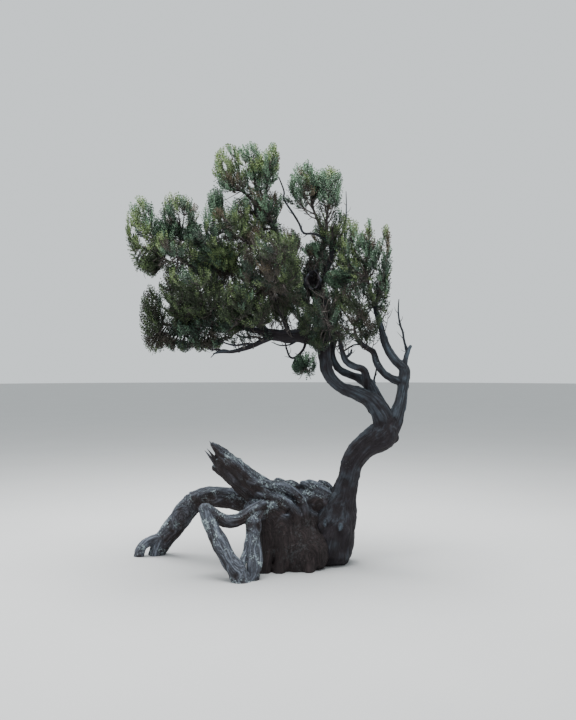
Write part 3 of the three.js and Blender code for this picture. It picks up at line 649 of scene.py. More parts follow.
def swell_lump(lump: Lump) -> Piece:
    """Models an uneven ball of wood as an object at the origin."""
    bpy.ops.object.select_all(action="DESELECT")
    centre = Vector(lump.centre) * MM
    bpy.ops.mesh.primitive_ico_sphere_add(subdivisions=4, radius=1.0, location=centre)
    piece = bpy.context.object
    edit_all()
    bpy.ops.transform.resize(value=[h * MM for h in lump.half], center_override=centre)
    bpy.ops.object.mode_set(mode="OBJECT")
    apply_place()
    return piece


def add_modifier(piece: Piece, kind: str, **values: object) -> None:
    """Adds a modifier of a kind with its settings to a piece, and applies it."""
    select_only(piece)
    bpy.ops.object.modifier_add(type=kind)
    modifier = piece.modifiers[-1]
    for key, value in values.items():
        setattr(modifier, key, value)
    bpy.ops.object.modifier_apply(modifier=modifier.name)


def joined(parts: list[Piece]) -> Piece:
    """Returns the first of several pieces, with the others joined to it."""
    select_only(parts[0])
    for part in parts[1:]:
        part.select_set(True)
    bpy.ops.object.join()
    return bpy.context.object


def grown_together(parts: list[Piece], name: str, voxel: float, smooth: int) -> Piece:
    """Joins solids into one skin, with soft crotches where they meet.

    Args:
        parts: the solids.
        name: the new piece's name.
        voxel: the size of the skin's faces in metres.
        smooth: how many times the skin is smoothed.

    Returns:
        The one piece.
    """
    piece = joined(parts)
    piece.name = piece.data.name = name
    add_modifier(piece, "REMESH", mode="VOXEL", voxel_size=voxel, use_smooth_shade=True)
    add_modifier(piece, "SMOOTH", factor=0.5, iterations=smooth)
    return piece


def cut_at_ground(piece: Piece) -> None:
    """Cuts a piece flat at the ground and closes the cut."""
    select_only(piece)
    edit_all()
    bpy.ops.mesh.bisect(plane_co=(0, 0, 0), plane_no=(0, 0, 1), use_fill=True, clear_inner=True)
    bpy.ops.mesh.select_all(action="SELECT")
    bpy.ops.mesh.quads_convert_to_tris()
    bpy.ops.object.mode_set(mode="OBJECT")


def read_points(piece: Piece) -> tuple[Array, Array]:
    """Returns a mesh's places and its normals."""
    count = len(piece.data.vertices)
    places, normals = np.zeros(count * 3, np.float32), np.zeros(count * 3, np.float32)
    piece.data.vertices.foreach_get("co", places)
    piece.data.vertices.foreach_get("normal", normals)
    return places.reshape(-1, 3).astype(float), normals.reshape(-1, 3).astype(float)


def write_points(piece: Piece, places: Array) -> None:
    """Moves a mesh's points to new places."""
    piece.data.vertices.foreach_set("co", places.astype(np.float32).ravel())
    piece.data.update()


def write_attribute(piece: Piece, name: str, values: Array) -> None:
    """Stores a number or a vector for each point of a mesh."""
    vector = values.ndim == 2
    made = piece.data.attributes.new(name, "FLOAT_VECTOR" if vector else "FLOAT", "POINT")
    made.data.foreach_set("vector" if vector else "value", values.astype(np.float32).ravel())


def write_wood(piece: Piece, grain: Array, wear: Array, crevice_shade: Array) -> None:
    """Stores what a wood finish reads: the grain's frame, the wear and how deep the wood lies, painted as
    shade.
    """
    write_attribute(piece, "grain", grain)
    write_attribute(piece, "wear", wear)
    write_attribute(piece, "crevice_shade", crevice_shade)


def mesh_from(name: str, places: Array, triangles: Array, slots: Array | None = None) -> Piece:
    """Makes a mesh piece from arrays.

    Args:
        name: the piece's name.
        places: N by 3 places.
        triangles: T by 3 indices.
        slots: T material slot numbers, or nothing for the first.

    Returns:
        The piece.
    """
    mesh = bpy.data.meshes.new(name)
    mesh.vertices.add(len(places))
    mesh.vertices.foreach_set("co", places.astype(np.float32).ravel())
    mesh.loops.add(triangles.size)
    mesh.loops.foreach_set("vertex_index", triangles.astype(np.int32).ravel())
    mesh.polygons.add(len(triangles))
    mesh.polygons.foreach_set("loop_start", np.arange(0, triangles.size, 3, dtype=np.int32))
    if slots is not None:
        mesh.polygons.foreach_set("material_index", slots.astype(np.int32))
    mesh.update(calc_edges=True)
    piece = bpy.data.objects.new(name, mesh)
    bpy.context.scene.collection.objects.link(piece)
    return piece


def tube_arrays(paths: Array, radii: Array, sides: int) -> tuple[Array, Array]:
    """Closed tubes along many paths at once.

    Args:
        paths: M by S by 3 places along each of M tubes.
        radii: M by S radii.
        sides: the number of sides.

    Returns:
        Places and triangles.
    """
    count, steps = paths.shape[:2]
    along = unit(np.gradient(paths, axis=1))
    chord = unit(paths[:, -1] - paths[:, 0])
    helper = np.where(np.abs(chord[:, :1]) < 0.6, [[1.0, 0, 0]], [[0, 1.0, 0.3]])[:, None, :]
    across = unit(np.cross(along, helper))
    other = np.cross(along, across)
    angle = np.arange(sides) / sides * 2 * np.pi
    ring = (
        across[:, :, None, :] * np.cos(angle)[None, None, :, None]
        + other[:, :, None, :] * np.sin(angle)[None, None, :, None]
    )
    rings = paths[:, :, None, :] + ring * radii[:, :, None, None]
    ends = np.stack([paths[:, 0], paths[:, -1] + along[:, -1] * radii[:, -1:]], axis=1)
    places = np.concatenate([rings.reshape(count, -1, 3), ends], axis=1)
    size = steps * sides + 2
    faces = []
    for i in range(sides):
        j = (i + 1) % sides
        for s in range(steps - 1):
            a, b = s * sides + i, s * sides + j
            faces += [(a, b, a + sides), (b, b + sides, a + sides)]
        faces.append((j, i, size - 2))
        faces.append(((steps - 1) * sides + i, (steps - 1) * sides + j, size - 1))
    one = np.array(faces)
    triangles = (one[None] + (np.arange(count) * size)[:, None, None]).reshape(-1, 3)
    return places.reshape(-1, 3), triangles


def stacked(parts: list[tuple[Array, Array]]) -> tuple[Array, Array]:
    """Returns the places and triangles of several meshes as one."""
    starts = np.cumsum([0] + [len(places) for places, _ in parts[:-1]])
    return (
        np.concatenate([places for places, _ in parts]),
        np.concatenate([triangles + start for (_, triangles), start in zip(parts, starts)]),
    )


# Finishes.


class Sheet:
    """Adds and links the nodes of one material or node group."""

    def __init__(self, tree: bpy.types.NodeTree) -> None:
        """Takes the node tree to fill."""
        self.tree = tree

    def add(self, kind: str, feeds: dict | None = None, **settings: object) -> bpy.types.Node:
        """Adds a node.

        Args:
            kind: the node's type.
            feeds: for an input's name or number, a value or an output to link.
            settings: the node's own settings.

        Returns:
            The node.
        """
        node = self.tree.nodes.new(kind)
        for key, value in settings.items():
            setattr(node, key, value)
        self.feed(node, feeds or {})
        return node

    def feed(self, node: bpy.types.Node, feeds: dict) -> None:
        """Sets inputs of a node to values, or links them to outputs."""
        for key, value in feeds.items():
            if isinstance(value, Socket):
                self.tree.links.new(value, node.inputs[key])
            else:
                node.inputs[key].default_value = value

    def noise(self, place: Socket, **feeds: object) -> Socket:
        """Returns a noise at a place; feeds are its inputs, such as Scale and Detail."""
        return self.add("ShaderNodeTexNoise", {"Vector": place, **feeds}).outputs["Fac"]

    def place(self) -> Socket:
        """Returns the place on the object."""
        return self.add("ShaderNodeTexCoord").outputs["Object"]

    def stored(self, name: str, kind: str) -> Socket:
        """Returns a number (Fac) or a vector (Vector) that the mesh stores."""
        return self.add("ShaderNodeAttribute", attribute_name=name).outputs[kind]

    def math(self, operation: str, *values: object) -> Socket:
        """Returns the output of a Math node over values or outputs."""
        return self.add("ShaderNodeMath", dict(enumerate(values)), operation=operation).outputs[0]

    def spread(self, value: Socket, low: object, high: object, to: tuple[float, float] = (0, 1)) -> Socket:
        """Returns a value's range from low to high, spread over another and kept in it."""
        feeds = {"Value": value, "From Min": low, "From Max": high, "To Min": to[0], "To Max": to[1]}
        return self.add("ShaderNodeMapRange", feeds, clamp=True).outputs["Result"]

    def blend(self, share: object, first: object, second: object) -> Socket:
        """Returns a colour between two by a share."""
        # inputs 6 and 7 and output 2 of a Mix node are those for colours
        return self.add("ShaderNodeMix", {0: share, 6: first, 7: second}, data_type="RGBA").outputs[2]


class Group(Sheet):
    """A shader node group from a vector and some numbers to other numbers."""

    def __init__(self, name: str, numbers: dict[str, float]) -> None:
        """Starts the group, with the usual value of each number that goes in beside the vector."""
        super().__init__(bpy.data.node_groups.new(name, "ShaderNodeTree"))
        self.tree.interface.new_socket(name="Vector", in_out="INPUT", socket_type="NodeSocketVector")
        for key, value in numbers.items():
            socket = self.tree.interface.new_socket(name=key, in_out="INPUT", socket_type="NodeSocketFloat")
            socket.default_value = value
        self.given = self.tree.nodes.new("NodeGroupInput").outputs

    def give(self, **results: Socket) -> bpy.types.NodeTree:
        """Sends results out of the group under their names, and returns the group."""
        for key in results:
            self.tree.interface.new_socket(name=key, in_out="OUTPUT", socket_type="NodeSocketFloat")
        self.add("NodeGroupOutput", results)
        return self.tree


def long_grain_group() -> bpy.types.NodeTree:
    """Returns the group that makes fibres along the wood: their tone, cracks and height."""
    group = Group("long_grain", {"Fineness": 60.0, "Length": 0.12, "Crack Width": 0.16})
    fineness = group.given["Fineness"]
    along = group.math("MULTIPLY", fineness, group.given["Length"])
    scale = group.add("ShaderNodeCombineXYZ", {0: fineness, 1: fineness, 2: along}).outputs[0]
    vectors = {0: group.given["Vector"], 1: scale}
    spot = group.add("ShaderNodeVectorMath", vectors, operation="MULTIPLY").outputs[0]
    fine = group.noise(spot, Scale=1.0, Detail=5.0, Roughness=0.62, Distortion=0.5)
    broad = group.noise(spot, Scale=0.33, Detail=3.0, Roughness=0.5, Distortion=0.8)
    ridge = group.math("ABSOLUTE", group.math("SUBTRACT", broad, 0.5))
    crack = group.spread(ridge, 0.0, group.given["Crack Width"], (1.0, 0.0))
    height = group.math("SUBTRACT", group.math("ADD", fine, broad), crack)
    return group.give(Tone=fine, Crack=crack, Height=height)


def pale_flecks_group() -> bpy.types.NodeTree:
    """Returns the group that makes lichen: a mask of ragged pale flecks in loose crowds."""
    group = Group("pale_flecks", {"Scale": 40.0, "Amount": 0.4})
    vector, scale = group.given["Vector"], group.given["Scale"]
    small = group.noise(vector, Scale=scale, Detail=4.0, Roughness=0.7)
    crowd = group.noise(vector, Scale=group.math("MULTIPLY", scale, 0.15), Detail=2.0)
    both = group.math("ADD", group.math("MULTIPLY", small, 0.6), group.math("MULTIPLY", crowd, 0.4))
    edge = group.math("SUBTRACT", 0.72, group.math("MULTIPLY", group.given["Amount"], 0.3))
    return group.give(Mask=group.spread(both, edge, group.math("ADD", edge, 0.05)))


class Coat(Sheet):
    """The nodes of one new material, and the shader that they end in."""

    def __init__(self, name: str) -> None:
        """Starts the material."""
        self.material = bpy.data.materials.new(name)
        self.material.use_nodes = True
        super().__init__(self.material.node_tree)

    def shine(self, colour: object, roughness: object, **feeds: object) -> Material:
        """Feeds the shader its colour, its roughness and other inputs, and returns the material."""
        shader = self.tree.nodes["Principled BSDF"]
        self.feed(shader, {"Base Color": colour, "Roughness": roughness, **feeds})
        return self.material


@dataclass(frozen=True)
class WoodFinish:
    """Bark or bare wood: dark and light tones where fresh and where weathered, lichen and relief.

    The grain attribute is a place in the limb's own frame, so that fibres follow every bend. The
    wear attribute is how weathered the wood is there, its tops paler and its undersides darker partly as
    painted light and painted shade; a third attribute is how deep it lies in a furrow, painted as shade.
    """

    name: str
    fresh_dark: Colour
    fresh_light: Colour
    worn_dark: Colour
    worn_light: Colour
    lichen: Colour
    lichen_amount: float = 0.35
    mottle: float = 0.4
    fineness: float = 70.0
    length: float = 0.08
    crack_width: float = 0.12
    relief: float = 0.005
    roughness: tuple[float, float] = (0.72, 0.95)
    fleck_scale: float = 45.0
    specular: float = 0.35

    def build(self, grain_group: bpy.types.NodeTree, fleck_group: bpy.types.NodeTree) -> Material:
        """Builds the material.

        Args:
            grain_group: the group of fibres and cracks.
            fleck_group: the group of lichen flecks.

        Returns:
            The material.
        """
        coat = Coat(self.name)
        wear, crevice_shade, place = coat.stored("wear", "Fac"), coat.stored("crevice_shade", "Fac"), coat.place()
        fibres = coat.add("ShaderNodeGroup", node_tree=grain_group)
        coat.feed(fibres, {"Vector": coat.stored("grain", "Vector"), "Crack Width": self.crack_width})
        coat.feed(fibres, {"Fineness": self.fineness, "Length": self.length})
        flecks = coat.add("ShaderNodeGroup", node_tree=fleck_group)
        coat.feed(flecks, {"Vector": place, "Scale": self.fleck_scale, "Amount": self.lichen_amount})
        blotch = coat.noise(place, Scale=38.0, Detail=8.0, Roughness=0.7)
        streak = coat.spread(fibres.outputs["Tone"], 0.32, 0.68, (0, 1 - self.mottle))
        tone = coat.math("ADD", streak, coat.spread(blotch, 0.3, 0.7, (0, self.mottle)))
        fresh = coat.blend(tone, self.fresh_dark, self.fresh_light)
        worn = coat.blend(tone, self.worn_dark, self.worn_light)
        clouds = coat.noise(place, Scale=8.0, Detail=5.0)
        share = coat.math("ADD", wear, coat.spread(clouds, 0.3, 0.7, (-0.4, 0.4)))
        # painted shade: the deeper the wood lies, the more it keeps the darker fresh tones
        share = coat.math("SUBTRACT", share, coat.math("MULTIPLY", crevice_shade, 0.45))
        wood = coat.blend(coat.spread(share, 0.0, 1.0), fresh, worn)
        # real cracks, and painted shade in deep furrows, take the darkest fresh tone
        cracks_and_crevice_shade = coat.math("MAXIMUM", fibres.outputs["Crack"], coat.spread(crevice_shade, 0.35, 1.0))
        cracked_and_shaded = coat.blend(coat.math("MULTIPLY", cracks_and_crevice_shade, 0.8), wood, self.fresh_dark)
        mask = coat.math("MULTIPLY", flecks.outputs["Mask"], coat.spread(wear, 0.15, 0.85, (0.06, 0.95)))
        colour = coat.blend(mask, cracked_and_shaded, self.lichen)
        rough = coat.spread(fibres.outputs["Tone"], 0.3, 0.7, self.roughness)
        feeds = {"Strength": 0.9, "Distance": self.relief, "Height": fibres.outputs["Height"]}
        bump = coat.add("ShaderNodeBump", feeds).outputs["Normal"]
        return coat.shine(colour, rough, Normal=bump, **{"Specular IOR Level": self.specular})


class LeafTint(Enum):
    """The plain base colours of the needles: cool and warm ones in steps from painted shade to painted light,
    and bronze, lit and in painted shade.
    """

    COOL_SHADE = (0.023, 0.043, 0.030, 1)
    COOL_DEEP = (0.051, 0.092, 0.061, 1)
    COOL_GREEN = (0.106, 0.180, 0.115, 1)
    COOL_LIGHT = (0.196, 0.312, 0.205, 1)
    WARM_SHADE = (0.028, 0.043, 0.021, 1)
    WARM_DEEP = (0.065, 0.101, 0.043, 1)
    WARM_OLIVE = (0.138, 0.198, 0.080, 1)
    WARM_YELLOW = (0.228, 0.310, 0.128, 1)
    BRONZE = (0.116, 0.096, 0.060, 1)
    BRONZE_SHADE = (0.052, 0.045, 0.034, 1)


# the steps from painted shade to painted light of the cool and of the warm tints
STEPS = 4


@dataclass(frozen=True)
class LeafFinish:
    """Needles: one plain colour for each tint, slightly glossy."""

    roughness: float = 0.58
    specular: float = 0.35

    def build(self, tint: LeafTint) -> Material:
        """Builds the material of one tint."""
        coat = Coat("needles_" + tint.name.lower())
        return coat.shine(tint.value, self.roughness, **{"Specular IOR Level": self.specular})


@dataclass(frozen=True)
class TwigFinish:
    """Twigs: brown to grey by patches."""

    dark: Colour = (0.026, 0.022, 0.022, 1)
    light: Colour = (0.130, 0.115, 0.105, 1)
    roughness: float = 0.85
    specular: float = 0.25

    def build(self) -> Material:
        """Builds the material."""
        coat = Coat("twig_bark")
        patches = coat.noise(coat.place(), Scale=18.0, Detail=5.0)
        colour = coat.blend(coat.spread(patches, 0.35, 0.7), self.dark, self.light)
        return coat.shine(colour, self.roughness, **{"Specular IOR Level": self.specular})


# Wood.


@dataclass
class GrainMap:
    """Finds each point's place in the frame of the limb that it lies on."""

    limbs: list[Limb]
    spacing: float = 0.012
    chunk: int = 4000
    sharpness: float = 12.0

    def __post_init__(self) -> None:
        """Takes samples along every limb, each limb's frame going on from that of its parent."""
        self.middles = self.tangents = self.across = np.zeros((0, 3))
        self.radii = self.travelled = self.wears = np.zeros(0)
        for limb in self.limbs:
            line = limb.points(np.linspace(0, 1, 120))
            length = np.linalg.norm(np.diff(line, axis=0), axis=1).sum()
            shares = np.linspace(0, 1, max(8, int(length / self.spacing)))
            middles, tangents = limb.points(shares), limb.tangents(shares)
            side, start = np.array([0.0, 1.0, 0.2]), 0.0
            if len(self.middles):
                parent = np.linalg.norm(self.middles - middles[0], axis=1).argmin()
                side, start = self.across[parent], self.travelled[parent]
            across = np.zeros_like(tangents)
            for i, along in enumerate(tangents):
                side = unit(side - side @ along * along)
                across[i] = side
            steps = np.linalg.norm(np.diff(middles, axis=0), axis=1)
            travelled = start + np.concatenate([[0], np.cumsum(steps)])
            self.middles = np.concatenate([self.middles, middles])
            self.tangents = np.concatenate([self.tangents, tangents])
            self.across = np.concatenate([self.across, across])
            self.radii = np.concatenate([self.radii, limb.radii(shares)])
            self.travelled = np.concatenate([self.travelled, travelled])
            self.wears = np.concatenate([self.wears, limb.wears(shares)])

    def read(self, places: Array) -> tuple[Array, Array, Array]:
        """Reads the frame of the nearest limb.

        Args:
            places: N by 3 places.

        Returns:
            The grain vector (across, across, along), the wear and the limb's radius of each place.
        """
        middles = self.middles
        nearest = np.zeros(len(places), int)
        wear = np.zeros(len(places))
        for first in range(0, len(places), self.chunk):
            some = slice(first, first + self.chunk)
            square = (places[some] ** 2).sum(1)[:, None] - 2 * places[some] @ middles.T
            square = square + (middles**2).sum(1)[None]
            reach = np.sqrt(np.maximum(square, 0)) / self.radii[None]
            nearest[some] = reach.argmin(1)
            weight = np.exp(-self.sharpness * (reach - reach.min(1, keepdims=True)))
            wear[some] = (weight * self.wears[None]).sum(1) / weight.sum(1)
        offset = places - middles[nearest]
        along, across = self.tangents[nearest], self.across[nearest]
        other = np.cross(across, along)
        travelled = self.travelled[nearest] + (offset * along).sum(1)
        grain = np.column_stack([(offset * across).sum(1), (offset * other).sum(1), travelled])
        return grain, wear, self.radii[nearest]


@dataclass(frozen=True)
class Scar:
    """The healed scar of a shed branch: its middle and its half width and height, in millimetres."""

    centre: Point
    half: tuple[float, float]

    def away(self, points: Array) -> Array:
        """Returns how far points lie from the middle, 1 being the scar's rim."""
        offset = points / MM - np.array(self.centre)
        size = np.array([self.half[0], 3 * max(self.half), self.half[1]])
        return np.linalg.norm(offset / size, axis=1)


@dataclass
class Relief:
    """The shape of bark or bare wood: flutes and ridges along the limb, burrs and crags."""

    flute: float = 0.07
    ridge: float = 0.0045
    ridge_width: float = 0.03
    ridge_length: float = 0.2
    burr: float = 0.006
    burr_size: float = 0.09
    crag: float = 0.0
    crag_size: float = 0.1
    stout: float = 0.05
    # how much upward faces gain wear and downward ones lose it: partly weathering, partly painted light on
    # tops and painted shade underneath
    top_wear_and_light: float = 0.3
    under_wear_and_shade: float = 0.3
    scar_rim: float = 0.007
    swirl: float = 0.0
    swirl_size: float = 0.13
    wander: float = 0.4
    wander_size: float = 0.12
    flute_length: float = 0.25
    # inside this ball the wood loses its wear and stays dark: painted shade
    shade_ball: Lump | None = None

    def raise_wood(self, piece: Piece, grain_map: GrainMap, scars: tuple[Scar, ...] = ()) -> None:
        """Moves a mesh's points in and out, and stores what its finish reads.

        Args:
            piece: the mesh.
            grain_map: the limbs that it is made of.
            scars: the scars on it.
        """
        places, normals = read_points(piece)
        grain, wear, radius = grain_map.read(places)
        # wear rises on upward faces and falls on downward ones: partly weathering, partly painted light and
        # painted shade
        rise = np.clip((normals[:, 2] - 0.1) / 0.65, 0, 1)
        top = rise**2 * (3 - 2 * rise) * self.top_wear_and_light
        wear = wear + top + np.minimum(normals[:, 2], 0) * self.under_wear_and_shade
        swirl = self.swirl * (0.3 + 0.7 * np.clip((radius - self.stout) / self.stout, 0, 1))
        for axis in range(3):
            grain[:, axis] += noise3(places / self.swirl_size, Noise.SWIRL + axis) * swirl
        across = unit(grain[:, :2])
        turn = np.arctan2(across[:, 1], across[:, 0])
        along = grain[:, 2]
        way = np.column_stack([along / self.flute_length, along * 0, along * 0])
        drift = noise3(way, Noise.FLUTE_DRIFT) * 2.5
        flutes = np.sin(3 * turn + drift) * 0.6 + np.sin(5 * turn - 1.7 * drift + 1.3) * 0.4
        slim = np.clip(radius / self.stout, 0.25, 1)
        wander = noise3(places / self.wander_size, Noise.RIDGE_WANDER)[:, None] * self.wander
        stretched = np.column_stack([grain[:, :2] / self.ridge_width, along / self.ridge_length]) + wander
        folds = 1 - 2 * np.abs(noise3(stretched, Noise.FOLDS))
        finer = 1 - 2 * np.abs(noise3(stretched * 1.9, Noise.FINER_FOLDS))
        ridges = folds * 0.65 + finer * 0.35
        crags = 1 - 2 * np.abs(noise3(places / self.crag_size, Noise.CRAGS))
        crags = crags + 0.5 * noise3(places / (self.crag_size * 0.4), Noise.FINER_CRAGS)
        lift = flutes * self.flute * radius * slim + ridges * self.ridge * slim
        lift += noise3(places / self.burr_size, Noise.BURRS) * self.burr * slim + (crags - 0.4) * self.crag
        # painted shade: the wood inside the ball loses its wear
        if self.shade_ball:
            offset = (places / MM - np.array(self.shade_ball.centre)) / np.array(self.shade_ball.half)
            wear = wear - np.clip(2.5 * (1.2 - np.linalg.norm(offset, axis=1)), 0, 1)
        for scar in scars:
            away = scar.away(places)
            lift += self.scar_rim * (np.exp(-(((away - 1) / 0.3) ** 2)) - np.exp(-((away / 0.6) ** 2)))
            wear = np.where(away < 0.95, 1.2, wear)
        write_points(piece, places + normals * lift[:, None])
        # how deep the wood lies, which the finish paints as shade
        depth = -ridges - 0.6 * flutes - (1.2 * (crags - 0.4) if self.crag else 0)
        write_wood(piece, grain, wear, np.clip(0.35 + 0.45 * depth, 0, 1))


class WoodenPart:
    """What the wooden parts share: the record's slot and the solids that each stands for."""

    slot = "bark"
    nodes: tuple[str, ...] = ()

    def dress(self, piece: Piece, material: Material) -> None:
        """Gives the part's piece its finish and its place in the model."""
        piece.data.materials.append(material)
        piece.data.shade_smooth()
        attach(piece, BODY)
        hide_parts(*self.nodes)


@dataclass
class TrunkAndLimbs(WoodenPart):
    """The living trunk, its fork and the limbs under the crown, in one skin of bark."""

    nodes = (
        "trunk", "left_limb", "level_bough", "right_limb", "right_upper_limb", "second_limb",
        "third_limb", "fourth_limb", "right_stub", "crown_stem",
    )
    voxel: float = 0.0064
    smooth: int = 6
    relief: Relief = field(default_factory=lambda: Relief(ridge_length=0.13, crag=0.004, crag_size=0.07))
    scars: tuple[Scar, ...] = (Scar((-50, -205, 373), (20, 32)), Scar((76, -215, 338), (18, 34)))
    hollow_end: Limb = Limb(
        ((-128, -5, 2340), (-138, -50, 2375), (-148, -105, 2402), (-150, -142, 2414)), (42, 50, 64, 74),
        (0.1, 0.15), 16)
    second_root: Limb = Limb(((446, 6, 1215), (436, 20, 1315)), (52, 60), (0.5, 0.7))

    def limbs(self) -> list[Limb]:
        """Returns the limbs of the skin, those that run on into each other as one."""
        left = LIMBS["left_fork"].onward(LIMBS["left_limb"], LIMBS["level_bough"])
        right = LIMBS["right_fork"].onward(LIMBS["right_limb"], LIMBS["right_upper_limb"])
        second = self.second_root.onward(LIMBS["second_limb"])
        rest = ("third_limb", "fourth_limb", "right_stub", "crown_stem")
        return [LIMBS["trunk"], left, right, second, *(LIMBS[name] for name in rest), self.hollow_end]

    def build(self) -> Piece:
        """Models the skin."""
        limbs = self.limbs()
        parts = [extrude_limb(limb) for limb in limbs[:-1]] + [swell_lump(burl) for burl in TRUNK_BURLS]
        parts.append(self.broken_end())
        piece = grown_together(parts, "trunk_and_limbs", self.voxel, self.smooth)
        self.relief.raise_wood(piece, GrainMap(limbs), self.scars)
        self.darken_heart(piece)
        cut_at_ground(piece)
        return piece

    def darken_heart(self, piece: Piece) -> None:
        """Stores that the rotted heart of the broken stub lies deepest, so that its finish paints shade
        there.
        """
        middle = np.array(self.hollow_end.route[-1]) * MM
        along = self.hollow_end.tangents(np.array([1.0]))[0]
        offset = read_points(piece)[0] - middle
        out = np.linalg.norm(offset - (offset @ along)[:, None] * along, axis=1)
        crevice_shade = np.zeros(len(offset))
        piece.data.attributes["crevice_shade"].data.foreach_get("value", crevice_shade)
        heart = (out < 0.056) & (np.abs(offset @ along + 0.02) < 0.09)
        piece.data.attributes["crevice_shade"].data.foreach_set("value", np.where(heart, 2.0, crevice_shade))

    def broken_end(self) -> Piece:
        """Models the broken stub in the crown, whose heart has rotted out."""
        piece = extrude_limb(self.hollow_end)
        middle = Vector(self.hollow_end.route[-1]) * MM
        along = Vector(self.hollow_end.tangents(np.array([1.0]))[0])
        select_only(piece)
        bpy.ops.object.mode_set(mode="EDIT")
        bpy.ops.mesh.select_all(action="DESELECT")
        bpy.ops.object.mode_set(mode="OBJECT")
        faces = piece.data.polygons
        cap = max(faces, key=lambda face: (Vector(face.center) - middle).dot(along) + face.area)
        cap.select = True
        bpy.ops.object.mode_set(mode="EDIT")
        bpy.ops.transform.resize(value=(0.78, 1, 1.34), center_override=middle)
        bpy.ops.mesh.inset(thickness=0.015)
        for depth, size in ((0.035, 0.9), (0.05, 0.7)):
            bpy.ops.mesh.extrude_region_move(TRANSFORM_OT_translate={"value": along * -depth})
            bpy.ops.transform.resize(value=(size, size, size), center_override=middle - along * depth)
        bpy.ops.object.mode_set(mode="OBJECT")
        return piece


@dataclass
class CrownBoughs(WoodenPart):
    """The boughs that run up into the crown and the bare one that sweeps out under it."""

    nodes = CROWN_BOUGHS
    voxel: float = 0.005
    smooth: int = 4
    relief: Relief = field(default_factory=lambda: Relief(ridge=0.0025, ridge_width=0.018, burr=0.004))

    def build(self) -> Piece:
        """Models the boughs."""
        limbs = [LIMBS[name] for name in CROWN_BOUGHS]
        parts = [extrude_limb(limb) for limb in limbs]
        piece = grown_together(parts, "crown_boughs", self.voxel, self.smooth)
        self.relief.raise_wood(piece, GrainMap(limbs))
        return piece


@dataclass
class BareTwigs(WoodenPart):
    """The thin bare whips, spires and spurs, each with small dead side twigs."""

    nodes = WHIPS
    side_twigs: int = 7
    spur_twigs: int = 3
    # how deep the twigs' wood counts as lying: an even, light painted shade
    depth: float = 0.2
    lengths: tuple[float, float] = (30, 90)
    thinner: float = 0.45

    def build(self) -> Piece:
        """Models the whips and their side twigs."""
        whips = [LIMBS[name] for name in WHIPS] + list(SPURS)
        limbs = list(whips)
        for i, limb in enumerate(whips):
            limbs += self.twigs_of(limb, i, self.side_twigs if i < len(WHIPS) else self.spur_twigs)
        piece = joined([extrude_limb(limb) for limb in limbs])
        piece.name = piece.data.name = "bare_twigs"
        places, _ = read_points(piece)
        grain, wear, _ = GrainMap(limbs).read(places)
        write_wood(piece, grain, wear, np.full(len(places), self.depth))
        return piece

    def twigs_of(self, limb: Limb, seed: int, count: int) -> list[Limb]:
        """Works out the side twigs of one whip.

        Args:
            limb: the whip.
            seed: which numbers to take.
            count: how many.

        Returns:
            The side twigs.
        """
        dice = Dice(300 + seed)
        twigs = []
        for i in range(count):
            share = np.array([0.2 + 0.75 * (i + dice.roll() * 0.5) / count])
            root = limb.points(share)[0] / MM
            along = limb.tangents(share)[0]
            side = unit(np.cross(along, [0.3, 1.0, 0.2]))
            side = turned(side, along, np.array(i * GOLDEN_TURN))
            length = dice.between(*self.lengths) * (1.1 - 0.5 * share[0])
            aim = unit(along * 0.7 + side * 0.9 + UP * 0.35)
            middle = root + aim * length * 0.55 + side * dice.between(-8, 8)
            tip = root + aim * length + (UP * 0.3 + along * 0.2) * length * 0.4
            thick = float(limb.radii(share)[0] / MM) * self.thinner
            route = (tuple(root - aim * 2), tuple(middle), tuple(tip))
            twigs.append(Limb(route, (thick, thick * 0.7, 0.8), (0.4,), 6))
        return twigs


